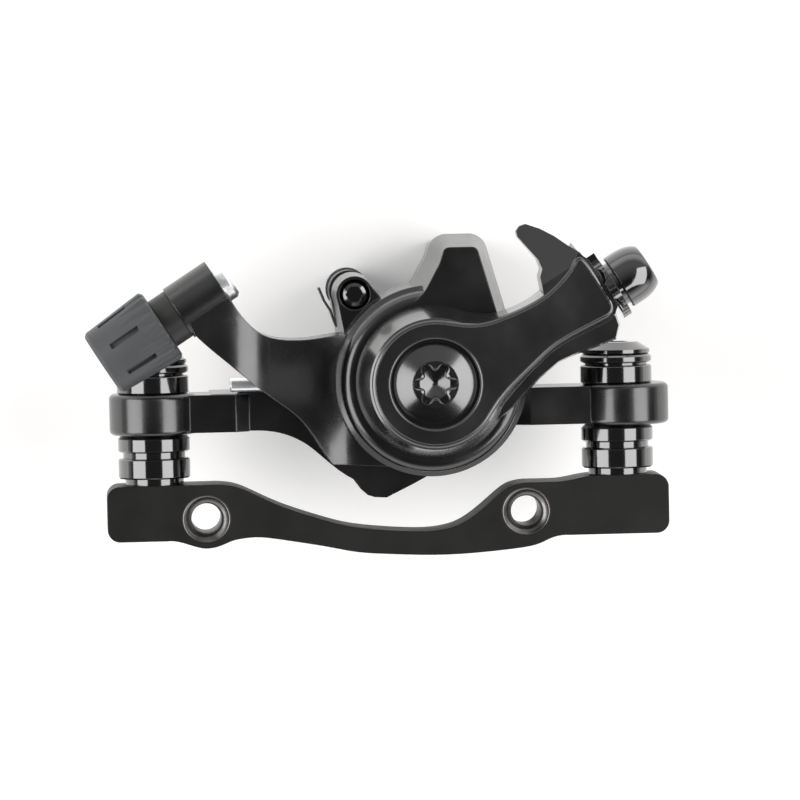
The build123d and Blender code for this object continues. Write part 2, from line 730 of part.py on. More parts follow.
with BuildPart() as needle_cage:
    with Locations(Plane(origin=(hub_x, needle_y, hub_z), x_dir=(1, 0, 0), z_dir=(0, 1, 0))):
        Cylinder(radius=thrust_outer_radius, height=cage_thickness)
        Cylinder(radius=thrust_inner_radius, height=cage_thickness, mode=Mode.SUBTRACT)
        with PolarLocations(needle_middle_radius, needle_count):
            Box(
                needle_length + 2 * running_clearance,
                2 * (needle_radius + running_clearance),
                cage_thickness,
                mode=Mode.SUBTRACT,
            )
finish(needle_cage, "needle_cage")

# Drive spindle: hexagon for the arm, journal in the cap, flange with three ball ramps
hex_width = 8.0
spindle_hex_y = -11.2
flange_radius = 9.5
flange_thickness = 3.3
pilot_radius = 3.0
pilot_length = 2.4
ball_rest_y_gap = 0.1
spindle_bolt_radius = 3.0
spindle_bolt_depth = 10.0
groove_clearance = 0.05
seal_section_radius = 0.36
seal_groove_width = 0.9
spindle_seal_share = 0.5

flange_back_y = flange_front_y + flange_thickness
ball_rest_y = flange_back_y - ball_rest_y_gap
ball_angles_deg = [30.0 + 360.0 * index / ball_count for index in range(ball_count)]
ramp_pitch = ramp_rise * 360 / ramp_travel_deg
spindle_seal_y = cap_back_y - cap_pocket_depth * spindle_seal_share
spindle_seal_radius = spindle_radius - seal_section_radius
ramp_helix = Helix(pitch=ramp_pitch, height=ramp_rise, radius=ball_pitch_radius)

with BuildPart() as drive_spindle:
    with BuildSketch(hub_plane):
        outline([
            (0, arm_back_y),
            (spindle_radius, arm_back_y),
            (spindle_radius, spindle_seal_y - seal_groove_width / 2),
            (spindle_seal_radius - seal_section_radius, spindle_seal_y - seal_groove_width / 2),
            (spindle_seal_radius - seal_section_radius, spindle_seal_y + seal_groove_width / 2),
            (spindle_radius, spindle_seal_y + seal_groove_width / 2),
            (spindle_radius, flange_front_y),
            (flange_radius, flange_front_y),
            (flange_radius, flange_back_y),
            (pilot_radius, flange_back_y),
            (pilot_radius, flange_back_y + pilot_length - soft_edge),
            (pilot_radius - soft_edge, flange_back_y + pilot_length),
            (0, flange_back_y + pilot_length),
        ])
    revolve(axis=hub_axis)
    with BuildSketch(front(arm_back_y)):
        with Locations((hub_x, hub_z)):
            RegularPolygon(radius=hex_width / 2, side_count=6, major_radius=False)
    extrude(amount=arm_back_y - spindle_hex_y)
    with BuildSketch(front(spindle_hex_y + spindle_bolt_depth + soft_edge)):
        with Locations((hub_x, hub_z)):
            Circle(spindle_bolt_radius + running_clearance)
    extrude(amount=spindle_bolt_depth + soft_edge, mode=Mode.SUBTRACT)
    for ball_deg in ball_angles_deg:
        ramp_line = turned_about_hub(ball_deg, ball_rest_y) * ramp_helix
        with BuildSketch(Plane(origin=ramp_line @ 0, z_dir=ramp_line % 0)):
            Circle(ball_radius + groove_clearance)
        sweep(path=ramp_line, is_frenet=True, mode=Mode.SUBTRACT)
        with Locations(ramp_line @ 0, ramp_line @ 1):
            Sphere(ball_radius + groove_clearance, mode=Mode.SUBTRACT)
finish(drive_spindle, "drive_spindle")

with BuildPart() as spindle_seal:
    with Locations(Plane(origin=(hub_x, spindle_seal_y, hub_z), z_dir=(0, 1, 0))):
        Torus(major_radius=spindle_seal_radius, minor_radius=seal_section_radius - seat_clearance)
finish(spindle_seal, "spindle_seal")

# Three balls that turn the spindle's rotation into thrust
with BuildPart() as ramp_balls:
    for ball_deg in ball_angles_deg:
        with Locations(around_hub(ball_pitch_radius, ball_deg, ball_rest_y)):
            Sphere(ball_radius)
finish(ramp_balls, "ramp_balls")

# Pressure foot: slides in the chamber, kept from turning by a key, and pushes the outboard pad
foot_gap = 0.3
foot_slide_clearance = 0.25
foot_seal_section_radius = 0.45
foot_seal_groove_width = 1.1
foot_seal_share = 0.65

foot_front_y = flange_back_y + foot_gap
foot_back_y = outboard_pad_back_y
foot_radius = chamber_radius - foot_slide_clearance
foot_seal_y = foot_front_y + (foot_back_y - foot_front_y) * foot_seal_share
foot_seal_radius = chamber_radius - running_clearance * 2 - foot_seal_section_radius
foot_groove_radius = foot_seal_radius - foot_seal_section_radius - seat_clearance

with BuildPart() as pressure_foot:
    with BuildSketch(hub_plane):
        outline([
            (0, foot_front_y + pilot_length),
            (pilot_radius + 2 * running_clearance, foot_front_y + pilot_length),
            (pilot_radius + 2 * running_clearance, foot_front_y),
            (foot_radius, foot_front_y),
            (foot_radius, foot_seal_y - foot_seal_groove_width / 2),
            (foot_groove_radius, foot_seal_y - foot_seal_groove_width / 2),
            (foot_groove_radius, foot_seal_y + foot_seal_groove_width / 2),
            (foot_radius, foot_seal_y + foot_seal_groove_width / 2),
            (foot_radius, foot_back_y - soft_edge),
            (foot_radius - soft_edge, foot_back_y),
            (0, foot_back_y),
        ])
    revolve(axis=hub_axis)
    key_reach = chamber_radius + key_height - loose_clearance
    key_top_y = foot_seal_y - foot_seal_groove_width / 2 - soft_edge
    with BuildSketch(front(key_top_y)):
        with Locations((hub_x, hub_z - (key_reach + foot_groove_radius) / 2)):
            Rectangle(key_width, key_reach - foot_groove_radius)
    extrude(amount=key_top_y - foot_front_y)
    for ball_deg in ball_angles_deg:
        with Locations(around_hub(ball_pitch_radius, ball_deg, ball_rest_y)):
            Sphere(ball_radius + seat_clearance, mode=Mode.SUBTRACT)
finish(pressure_foot, "pressure_foot")

with BuildPart() as foot_seal:
    with Locations(Plane(origin=(hub_x, foot_seal_y, hub_z), z_dir=(0, 1, 0))):
        Torus(major_radius=foot_seal_radius, minor_radius=foot_seal_section_radius)
finish(foot_seal, "foot_seal")

# Dust seal between the arm's hub and the drum
dust_seal_inner_radius = 11.2
dust_seal_outer_radius = 12.0
dust_seal_thickness = 0.3

with BuildPart() as hub_dust_seal:
    with BuildSketch(front(body_front_y)):
        with Locations((hub_x, hub_z)):
            Circle(dust_seal_outer_radius)
            Circle(dust_seal_inner_radius, mode=Mode.SUBTRACT)
    extrude(amount=dust_seal_thickness)
finish(hub_dust_seal, "hub_dust_seal")

# Pads: steel plates with a tab over the pad axle, and the linings bonded to them
pad_hole_radius = 2.2

def make_pad(side_name, plate_back_y, way):
    """Plate and lining of one pad; way is 1 where the lining faces inboard."""
    plate_face_y = plate_back_y + way * plate_thickness
    lining_face_y = plate_face_y + way * lining_thickness
    with BuildPart() as plate:
        with BuildSketch(front(max(plate_back_y, plate_face_y))):
            pad_outline(0)
            with Locations((axle_x, axle_z)):
                Circle(pad_hole_radius, mode=Mode.SUBTRACT)
        extrude(amount=plate_thickness)
    finish(plate, side_name + "_pad_plate")
    with BuildPart() as lining:
        with BuildSketch(front(max(plate_face_y, lining_face_y))):
            with Locations((hub_x, hub_z)):
                RectangleRounded(
                    pad_width - 2 * lining_inset, pad_height - 2 * lining_inset, pad_corner_radius
                )
        extrude(amount=lining_thickness)
        with Locations((hub_x, lining_face_y, hub_z)):
            Box(lining_inset / 2, lining_thickness, pad_height, mode=Mode.SUBTRACT)
    finish(lining, side_name + "_pad_lining")


make_pad("outboard", outboard_pad_back_y, 1)
make_pad("inboard", inboard_pad_back_y, -1)

# Inboard adjuster: a screwed plug with a hexagon socket and click notches
adjuster_socket_width = 5.0
adjuster_socket_depth = 4.0
adjuster_back_step = 0.5
adjuster_notch_count = 12
adjuster_seal_share = 0.4
adjuster_back_y = body_back_y - adjuster_back_step
adjuster_seal_y = inboard_pad_back_y + (adjuster_back_y - inboard_pad_back_y) * adjuster_seal_share
adjuster_seal_radius = adjuster_radius - seal_section_radius

with BuildPart() as inboard_adjuster:
    with BuildSketch(hub_plane):
        outline([
            (0, inboard_pad_back_y),
            (adjuster_radius - soft_edge, inboard_pad_back_y),
            (adjuster_radius, inboard_pad_back_y + soft_edge),
            (adjuster_radius, adjuster_seal_y - seal_groove_width / 2),
            (adjuster_seal_radius - seal_section_radius, adjuster_seal_y - seal_groove_width / 2),
            (adjuster_seal_radius - seal_section_radius, adjuster_seal_y + seal_groove_width / 2),
            (adjuster_radius, adjuster_seal_y + seal_groove_width / 2),
            (adjuster_radius, adjuster_back_y - soft_edge),
            (adjuster_radius - soft_edge, adjuster_back_y),
            (0, adjuster_back_y),
        ])
    revolve(axis=hub_axis)
    with BuildSketch(front(adjuster_back_y)):
        with Locations((hub_x, hub_z)):
            RegularPolygon(radius=adjuster_socket_width / 2, side_count=6, major_radius=False)
            with PolarLocations(adjuster_radius, adjuster_notch_count):
                Circle(soft_edge)
    extrude(amount=adjuster_socket_depth, mode=Mode.SUBTRACT)
finish(inboard_adjuster, "inboard_adjuster")

with BuildPart() as adjuster_seal:
    with Locations(Plane(origin=(hub_x, adjuster_seal_y, hub_z), z_dir=(0, 1, 0))):
        Torus(major_radius=adjuster_seal_radius, minor_radius=seal_section_radius - seat_clearance)
finish(adjuster_seal, "adjuster_seal")

# Pad axle: a headed pin through both lugs and both pad tabs, held by a clip
axle_socket_width = 2.5
axle_socket_depth = 1.8
axle_overhang = 2.4
clip_thickness = 0.7
clip_outer_radius = 3.5
clip_gap_width = 2.6
axle_groove_radius = 1.6
axle_rim_gap = 0.2
axle_crown_shares = [(0.56, 0.0), (0.8, 0.08), (0.95, 0.22), (1.0, 0.4)]

axle_head_y = lug_front_y + axle_rim_gap
axle_head_back_y = lug_front_y + axle_head_depth
axle_end_y = lug_back_y + axle_overhang
clip_front_y = lug_back_y + running_clearance
clip_back_y = clip_front_y + clip_thickness
axle_line = Axis((axle_x, 0, axle_z), (0, 1, 0))

with BuildPart() as pad_axle_bolt:
    with BuildSketch(Plane(origin=(axle_x, 0, axle_z), x_dir=(1, 0, 0), z_dir=(0, 0, 1))):
        outline([
            (0, axle_head_y),
            *[
                (axle_head_radius * share_out, axle_head_y + axle_head_radius * share_in)
                for share_out, share_in in axle_crown_shares
            ],
            (axle_head_radius, axle_head_back_y),
            (axle_radius, axle_head_back_y),
            (axle_radius, clip_front_y - running_clearance),
            (axle_groove_radius, clip_front_y - running_clearance),
            (axle_groove_radius, clip_back_y + running_clearance),
            (axle_radius, clip_back_y + running_clearance),
            (axle_radius, axle_end_y - soft_edge),
            (axle_radius - soft_edge, axle_end_y),
            (0, axle_end_y),
        ])
    revolve(axis=axle_line)
    with BuildSketch(front(axle_head_y + axle_socket_depth)):
        with Locations((axle_x, axle_z)):
            RegularPolygon(radius=axle_socket_width / 2, side_count=6, major_radius=False)
    extrude(amount=axle_socket_depth, mode=Mode.SUBTRACT)
finish(pad_axle_bolt, "pad_axle_bolt")

with BuildPart() as axle_clip:
    with BuildSketch(front(clip_back_y)):
        with Locations((axle_x, axle_z)):
            Circle(clip_outer_radius)
            Circle(axle_groove_radius + seat_clearance, mode=Mode.SUBTRACT)
            with Locations((0, -clip_outer_radius)):
                Rectangle(clip_gap_width, 2 * clip_outer_radius, mode=Mode.SUBTRACT)
    extrude(amount=clip_thickness)
finish(axle_clip, "axle_clip")

# Pad spring: a strip bent from sheet, with a tail past the axle and a wing behind each pad
pad_spring_thickness = 0.4
pad_spring_wall_gap = 0.12
pad_spring_roof_gap = 0.45
pad_spring_tail_shares = [(-1.58, 0.24), (-1.33, -0.4), (-1.03, -0.88), (-0.75, -1.7), (-0.3, -1.72)]
strip_start_share = 0.45
strip_bend_radius = 0.66
wing_reach = 1.55
wing_rise = 1.15
wing_length = 14.0

strip_z = slot_top_z - pad_spring_roof_gap - pad_spring_thickness / 2
strip_start_x = axle_x + pad_tab_radius * strip_start_share
strip_end_x = hub_x + pad_width / 4
strip_front_y = outboard_wall_y + pad_spring_wall_gap
strip_back_y = inboard_wall_y - pad_spring_wall_gap

with BuildPart() as pad_spring:
    with BuildSketch(front(strip_back_y)):
        with BuildLine():
            tail_points = [
                (axle_x + pad_tab_radius * share_x, axle_z + pad_tab_radius * share_z)
                for share_x, share_z in pad_spring_tail_shares
            ]
            FilletPolyline(
                *tail_points, (strip_start_x, strip_z), (strip_end_x, strip_z), radius=strip_bend_radius
            )
        trace(line_width=pad_spring_thickness)
    extrude(amount=strip_back_y - strip_front_y)
    for edge_y, way in ((strip_front_y, -1), (strip_back_y, 1)):
        wing_y = edge_y - way * pad_spring_thickness / 2
        with BuildSketch(Plane.YZ.offset(strip_end_x - wing_length)):
            with BuildLine():
                Polyline(
                    (wing_y, strip_z),
                    (wing_y, strip_z - wing_rise),
                    (wing_y + way * wing_reach, strip_z - 2 * wing_rise),
                )
            trace(line_width=pad_spring_thickness)
        extrude(amount=wing_length)
finish(pad_spring, "pad_spring")

# Actuator arm: hub, tapering arm with a second edge below, and a horn that guides the cable
arm_angle_deg = 31.5
arm_reach = 30.7
arm_hub_back_radius = 12.2
arm_hub_front_radius = 10.1
arm_counterbore_radius = 7.0
arm_counterbore_depth = 3.0
arm_flange_depth = 3.7
arm_flange_draft_deg = 8.0
pinch_offset = 2.4
pinch_thread_radius = 2.5
pinch_thread_depth = 12.0
arm_end_upper_share = 0.111
arm_end_lower_share = -0.167
arm_front_upper_shares = [(0.209, 0.254), (0.33, 0.155), (0.46, 0.109), (0.664, 0.08)]
arm_front_upper_shares += [(0.80, 0.098), (0.90, 0.130), (0.975, 0.175)]
arm_back_upper_shares = [(0.252, 0.307), (0.33, 0.222), (0.42, 0.150), (0.516, 0.113)]
arm_back_upper_shares += [(0.694, 0.10), (0.85, 0.145), (0.985, 0.22)]
arm_front_lower_shares = [(0.967, -0.195), (0.767, -0.177), (0.62, -0.17), (0.474, -0.194)]
arm_front_lower_shares += [(0.297, -0.233), (0.19, -0.27)]
arm_back_lower_shares = [(0.98, -0.237), (0.767, -0.222), (0.62, -0.213), (0.474, -0.24)]
arm_back_lower_shares += [(0.33, -0.285), (0.236, -0.32)]
arm_flange_shares = [(0.2, 0.0), (1.0, 0.0), (1.0, -0.16), (0.972, -0.274), (0.915, -0.329)]
arm_flange_shares += [(0.818, -0.31), (0.7, -0.284), (0.6, -0.27), (0.48, -0.285), (0.36, -0.313)]
arm_flange_shares += [(0.25, -0.343), (0.12, -0.355), (0.05, -0.2)]
horn_shares = [(0.70, 0.06), (0.745, 0.171), (0.776, 0.198), (0.785, 0.248), (0.762, 0.40)]
horn_shares += [(0.772, 0.43), (0.80, 0.442), (0.833, 0.434), (0.880, 0.376), (0.920, 0.307)]
horn_shares += [(0.951, 0.232), (0.985, 0.165), (0.985, 0.06)]
horn_side_shares = [(0.0, 0.8125), (0.0, 1.8125), (0.13, 1.8125), (0.45, 1.30), (0.45, 0.98), (0.2, 0.8125)]

arm_cosine = math.cos(math.radians(arm_angle_deg))
arm_sine = math.sin(math.radians(arm_angle_deg))
arm_direction = (arm_cosine, 0, arm_sine)


def along_arm(y):
    """Plane at depth y that faces the viewer, its x along the arm from the hub's axis."""
    return Plane(origin=(hub_x, y, hub_z), x_dir=arm_direction, z_dir=(0, -1, 0))


def across_arm(distance):
    """Plane square to the arm at a distance from the hub's axis, centred on the pinch bolt."""
    origin = (
        hub_x + distance * arm_cosine + pinch_offset * arm_sine,
        arm_middle_y,
        hub_z + distance * arm_sine - pinch_offset * arm_cosine,
    )
    return Plane(origin=origin, x_dir=(0, 1, 0), z_dir=arm_direction)


with BuildPart() as cable_horn:
    with BuildSketch(along_arm(arm_back_y)):
        outline(placed(horn_shares, 0, 0, arm_reach))
    extrude(amount=arm_thickness)
    with BuildSketch(Plane(
        origin=(hub_x, 0, hub_z), x_dir=(-arm_sine, 0, arm_cosine), z_dir=arm_direction
    )):
        outline([
            (arm_reach * share_across, arm_thickness * share_depth)
            for share_across, share_depth in horn_side_shares
        ])
    extrude(amount=arm_reach, mode=Mode.INTERSECT)

with BuildPart() as actuator_arm:
    for section_y, upper_shares, lower_shares in (
        (arm_back_y, arm_back_upper_shares, arm_back_lower_shares),
        (arm_front_y, arm_front_upper_shares, arm_front_lower_shares),
    ):
        with BuildSketch(along_arm(section_y)):
            with BuildLine():
                upper = placed(upper_shares, 0, 0, arm_reach)
                lower = placed(lower_shares, 0, 0, arm_reach)
                Spline(*upper)
                Polyline(
                    upper[-1],
                    (arm_reach, arm_reach * arm_end_upper_share),
                    (arm_reach, arm_reach * arm_end_lower_share),
                    lower[0],
                )
                Spline(*lower)
                Line(lower[-1], upper[0])
            make_face()
    loft(ruled=True)
    with BuildSketch(hub_plane):
        outline([
            (0, arm_back_y),
            (arm_hub_back_radius - soft_edge / 2, arm_back_y),
            (arm_hub_back_radius, arm_back_y - soft_edge / 2),
            (arm_hub_front_radius + soft_edge / 2, arm_front_y + soft_edge / 2),
            (arm_hub_front_radius - soft_edge / 2, arm_front_y),
            (0, arm_front_y),
        ])
    revolve(axis=hub_axis)
    with BuildSketch(along_arm(arm_back_y)):
        outline(placed(arm_flange_shares, 0, 0, arm_reach))
    extrude(amount=arm_flange_depth, taper=arm_flange_draft_deg)
    add(cable_horn.part)
    with BuildSketch(hub_plane):
        outline([
            (0, arm_front_y - cut_overrun),
            (arm_counterbore_radius + cut_overrun + soft_edge, arm_front_y - cut_overrun),
            (arm_counterbore_radius, arm_front_y + soft_edge),
            (arm_counterbore_radius, arm_front_y + arm_counterbore_depth),
            (0, arm_front_y + arm_counterbore_depth),
        ])
        outline([
            (spring_pocket_inner_radius, arm_back_y + cut_overrun),
            (spring_pocket_inner_radius, arm_pocket_y),
            (spring_pocket_outer_radius, arm_pocket_y),
            (spring_pocket_outer_radius, arm_back_y + cut_overrun),
        ])
    revolve(axis=hub_axis, mode=Mode.SUBTRACT)
    with BuildSketch(front(arm_back_y)):
        with Locations((hub_x, hub_z)):
            RegularPolygon(
                radius=hex_width / 2 + running_clearance, side_count=6, major_radius=False
            )
    extrude(amount=arm_thickness, mode=Mode.SUBTRACT)
    with BuildSketch(front(arm_pocket_y)):
        with Locations(around_hub(spring_radius, spring_start_deg, 0)[::2]):
            Circle(spring_wire / 2 + running_clearance)
    extrude(amount=spring_leg + soft_edge, mode=Mode.SUBTRACT)
    with BuildSketch(across_arm(arm_reach + cut_overrun)):
        Circle(pinch_thread_radius + running_clearance)
    extrude(amount=-pinch_thread_depth - cut_overrun, mode=Mode.SUBTRACT)
finish(actuator_arm, "actuator_arm")

# Arm bolt: a cone-headed bolt with a six-lobed recess, down the spindle
arm_bolt_head_radius = 6.55
arm_bolt_top_radius = 3.65
arm_bolt_rim = 1.7
arm_bolt_top_gap = 0.2
arm_bolt_lobe_radius = 0.95
arm_bolt_recess_radius = 3.5
arm_bolt_recess_depth = 1.9
arm_bolt_recess_floor_radius = 2.4
arm_bolt_recess_point = 0.9
arm_bolt_length = 9.5

arm_bolt_seat_y = arm_front_y + arm_counterbore_depth
arm_bolt_top_y = arm_front_y + arm_bolt_top_gap

with BuildPart() as arm_bolt:
    with BuildSketch(hub_plane):
        outline([
            (0, arm_bolt_top_y),
            (arm_bolt_top_radius, arm_bolt_top_y),
            (arm_bolt_head_radius, arm_bolt_seat_y - arm_bolt_rim),
            (arm_bolt_head_radius, arm_bolt_seat_y),
            (spindle_bolt_radius, arm_bolt_seat_y),
            (spindle_bolt_radius, arm_bolt_seat_y + arm_bolt_length - soft_edge),
            (spindle_bolt_radius - soft_edge, arm_bolt_seat_y + arm_bolt_length),
            (0, arm_bolt_seat_y + arm_bolt_length),
        ])
    revolve(axis=hub_axis)
    with BuildSketch(front(arm_bolt_top_y + arm_bolt_recess_depth)):
        with Locations((hub_x, hub_z)):
            Circle(arm_bolt_recess_radius - arm_bolt_lobe_radius)
            with PolarLocations(arm_bolt_recess_radius - arm_bolt_lobe_radius, 6):
                Circle(arm_bolt_lobe_radius)
    extrude(amount=arm_bolt_recess_depth, mode=Mode.SUBTRACT)
    with BuildSketch(hub_plane):
        recess_floor_y = arm_bolt_top_y + arm_bolt_recess_depth
        outline([
            (0, recess_floor_y),
            (arm_bolt_recess_floor_radius, recess_floor_y),
            (0, recess_floor_y + arm_bolt_recess_point),
        ])
    revolve(axis=hub_axis, mode=Mode.SUBTRACT)
finish(arm_bolt, "arm_bolt")

# Cable clamp on the arm's end: a grooved washer under a hexagon-socket bolt
clamp_radius = 5.2
clamp_thickness = 1.4
clamp_hole_radius = 2.6
clamp_knurl_count = 36
clamp_knurl_depth = 0.15
clamp_tab_width = 3.0
clamp_tab_reach = 0.9
cable_radius = 0.8
pinch_head_radius = 4.54
pinch_neck_radius = 3.7
pinch_neck_height = 0.7
pinch_rim_height = 0.6
pinch_flank_shares = [(1.0, 0.0), (1.0, 0.2), (0.95, 0.62), (0.80, 0.93), (0.68, 1.0)]
pinch_head_height = 6.2
pinch_socket_width = 2.9
pinch_socket_depth = 2.6
pinch_bolt_length = 11.0

clamp_near = arm_reach + seat_clearance
clamp_far = clamp_near + clamp_thickness
head_near = clamp_far + seat_clearance
pinch_plane = across_arm(0)
pinch_side = Plane(origin=pinch_plane.origin, x_dir=(0, 1, 0), z_dir=(arm_sine, 0, -arm_cosine))
pinch_line = Axis(pinch_plane.origin, arm_direction)

with BuildPart() as cable_clamp_washer:
    with BuildSketch(across_arm(clamp_near)):
        Circle(clamp_radius)
        with PolarLocations(clamp_radius, clamp_knurl_count):
            Circle(clamp_knurl_depth, mode=Mode.SUBTRACT)
        with Locations((0, clamp_radius)):
            Rectangle(clamp_tab_width, 2 * clamp_tab_reach)
        Circle(clamp_hole_radius, mode=Mode.SUBTRACT)
    extrude(amount=clamp_thickness)
    with BuildSketch(pinch_side.offset(-clamp_radius - clamp_tab_reach - cut_overrun)):
        with Locations((-clamp_hole_radius - 2 * cable_radius, clamp_near)):
            Circle(cable_radius)
    extrude(amount=2 * (clamp_radius + clamp_tab_reach + cut_overrun), mode=Mode.SUBTRACT)
finish(cable_clamp_washer, "cable_clamp_washer")

with BuildPart() as pinch_bolt:
    with BuildSketch(pinch_side):
        with BuildLine():
            rim_z = head_near + pinch_neck_height + pinch_rim_height
            flank_height = pinch_head_height - pinch_neck_height - pinch_rim_height
            flank_line = [
                (pinch_head_radius * share_across, rim_z + flank_height * share_up)
                for share_across, share_up in pinch_flank_shares
            ]
            Spline(*flank_line, tangents=[(0, 1), (-1, 0)])
            Polyline(
                flank_line[-1],
                (0, head_near + pinch_head_height),
                (0, head_near - pinch_bolt_length),
                (pinch_thread_radius - soft_edge, head_near - pinch_bolt_length),
                (pinch_thread_radius, head_near - pinch_bolt_length + soft_edge),
                (pinch_thread_radius, head_near),
                (pinch_neck_radius, head_near),
                (pinch_neck_radius, head_near + pinch_neck_height),
                (pinch_head_radius - soft_edge / 2, head_near + pinch_neck_height),
                (pinch_head_radius, head_near + pinch_neck_height + soft_edge / 2),
                flank_line[0],
            )
        make_face()
    revolve(axis=pinch_line)
    with BuildSketch(across_arm(head_near + pinch_head_height)):
        RegularPolygon(radius=pinch_socket_width / 2, side_count=6, major_radius=False)
    extrude(amount=-pinch_socket_depth, mode=Mode.SUBTRACT)
finish(pinch_bolt, "pinch_bolt")

# Barrel adjuster: knob on a hollow screw, with a click collar and spring inside the knob
knob_outer_end = -18.3
knob_inner_end = -7.0
knob_end_radius = 5.5
knob_radius = 6.15
knob_slot_count = 7
knob_slot_width = 0.9
knob_slot_floor_radius = 4.95
knob_slot_start_deg = 162.0
knob_slot_start = -10.4
knob_slot_length = 5.2
knob_flute_count = 3 * knob_slot_count
knob_flute_radius = 0.7
knob_flute_share = 0.5
housing_radius = 2.55
housing_depth = 4.0
barrel_bore_radius = 0.9
barrel_inner_end = 5.8
knob_press_length = 1.5
knob_cavity_radius = 4.35
collar_radius = 4.2
collar_sleeve_radius = 3.55
collar_sleeve_length = 4.5
detent_wire = 0.5
detent_turns = 4.0

barrel_outer_end = knob_outer_end + housing_depth
cavity_end = barrel_outer_end + knob_press_length
boss_face = -barrel_boss_length / 2

with BuildPart() as threaded_barrel:
    with BuildSketch(barrel_plane):
        outline([
            (barrel_bore_radius, barrel_outer_end),
            (barrel_thread_radius, barrel_outer_end),
            (barrel_thread_radius, barrel_inner_end - soft_edge),
            (barrel_thread_radius - soft_edge, barrel_inner_end),
            (barrel_bore_radius, barrel_inner_end),
        ])
    revolve(axis=barrel_axis)
finish(threaded_barrel, "threaded_barrel")

with BuildPart() as adjuster_knob:
    with BuildSketch(barrel_plane):
        outline([
            (housing_radius, knob_outer_end),
            (knob_end_radius - soft_edge, knob_outer_end),
            (knob_end_radius, knob_outer_end + soft_edge),
            (knob_radius, knob_inner_end - soft_edge),
            (knob_radius - soft_edge, knob_inner_end),
            (knob_cavity_radius, knob_inner_end),
            (knob_cavity_radius, cavity_end),
            (barrel_thread_radius + seat_clearance, cavity_end),
            (barrel_thread_radius + seat_clearance, barrel_outer_end),
            (housing_radius, barrel_outer_end),
        ])
    revolve(axis=barrel_axis)
    with BuildSketch(across_barrel(knob_inner_end)):
        with PolarLocations(
            knob_radius + knob_flute_radius * knob_flute_share, knob_flute_count, knob_slot_start_deg
        ):
            Circle(knob_flute_radius)
    extrude(amount=knob_outer_end - knob_inner_end, mode=Mode.SUBTRACT)
    with BuildSketch(across_barrel(knob_slot_start)):
        with PolarLocations(
            knob_slot_floor_radius + knob_slot_width, knob_slot_count, knob_slot_start_deg
        ):
            Rectangle(2 * knob_slot_width, knob_slot_width)
    extrude(amount=-knob_slot_length, mode=Mode.SUBTRACT)
finish(adjuster_knob, "adjuster_knob")

with BuildPart() as detent_collar:
    with BuildSketch(barrel_plane):
        outline([
            (barrel_thread_radius + running_clearance, boss_face - seat_clearance),
            (collar_radius, boss_face - seat_clearance),
            (collar_radius, knob_inner_end + running_clearance),
            (collar_sleeve_radius, knob_inner_end + running_clearance),
            (collar_sleeve_radius, knob_inner_end - collar_sleeve_length),
            (barrel_thread_radius + running_clearance, knob_inner_end - collar_sleeve_length),
        ])
    revolve(axis=barrel_axis)
finish(detent_collar, "detent_collar")

# Detent spring: coil between the collar's flange and the floor of the knob's cavity
detent_radius = (collar_sleeve_radius + knob_cavity_radius) / 2
detent_start = cavity_end + detent_wire / 2 + running_clearance
detent_length = knob_inner_end + running_clearance - detent_wire - running_clearance - detent_start
detent_pitch = detent_length / detent_turns
detent_frame = Plane(
    origin=across_barrel(detent_start).origin, x_dir=(0, 1, 0), z_dir=barrel_direction
)
detent_coil = detent_frame * Helix(
    pitch=detent_pitch, height=detent_length, radius=detent_radius
)
with BuildPart() as detent_spring:
    with BuildSketch(Plane(origin=detent_coil @ 0, z_dir=detent_coil % 0)):
        Circle(detent_wire / 2)
    sweep(path=detent_coil, is_frenet=True)
finish(detent_spring, "detent_spring")
print("detent spring gap between turns", round(detent_pitch - detent_wire, 2), "mm")
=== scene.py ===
"""Looks of a cable-pulled bicycle disc brake caliper on its frame adapter.

Metres, in the part's own frame: X to the right and Z up from the arm's side, Y towards the wheel.
"""

import math

import bmesh
import bpy
import numpy as np
from mathutils import Matrix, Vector
from mathutils.geometry import tessellate_polygon


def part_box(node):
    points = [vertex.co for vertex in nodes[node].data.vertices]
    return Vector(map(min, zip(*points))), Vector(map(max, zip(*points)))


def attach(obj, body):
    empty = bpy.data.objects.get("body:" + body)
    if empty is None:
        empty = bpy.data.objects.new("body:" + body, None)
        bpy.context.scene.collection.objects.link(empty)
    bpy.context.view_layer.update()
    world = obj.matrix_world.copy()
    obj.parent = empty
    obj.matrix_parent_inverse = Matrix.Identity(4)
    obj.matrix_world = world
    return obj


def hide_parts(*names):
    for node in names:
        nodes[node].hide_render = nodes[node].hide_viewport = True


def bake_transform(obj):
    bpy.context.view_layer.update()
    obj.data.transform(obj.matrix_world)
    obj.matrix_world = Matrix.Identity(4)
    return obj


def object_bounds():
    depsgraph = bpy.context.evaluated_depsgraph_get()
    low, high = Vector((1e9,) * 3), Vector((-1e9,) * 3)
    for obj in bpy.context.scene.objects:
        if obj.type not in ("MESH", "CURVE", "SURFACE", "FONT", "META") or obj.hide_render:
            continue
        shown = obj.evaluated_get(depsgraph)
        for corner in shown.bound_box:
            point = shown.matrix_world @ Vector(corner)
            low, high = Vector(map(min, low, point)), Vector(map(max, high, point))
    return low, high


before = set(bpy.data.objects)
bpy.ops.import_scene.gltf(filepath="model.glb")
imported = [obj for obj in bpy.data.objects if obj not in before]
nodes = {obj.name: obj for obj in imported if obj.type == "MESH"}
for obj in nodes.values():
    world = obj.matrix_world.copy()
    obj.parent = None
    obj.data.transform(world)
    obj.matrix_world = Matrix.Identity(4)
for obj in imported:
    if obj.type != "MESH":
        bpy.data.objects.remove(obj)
cad_box = [list(corner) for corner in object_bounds()]
scene = bpy.context.scene
scene.view_settings.view_transform = "Standard"

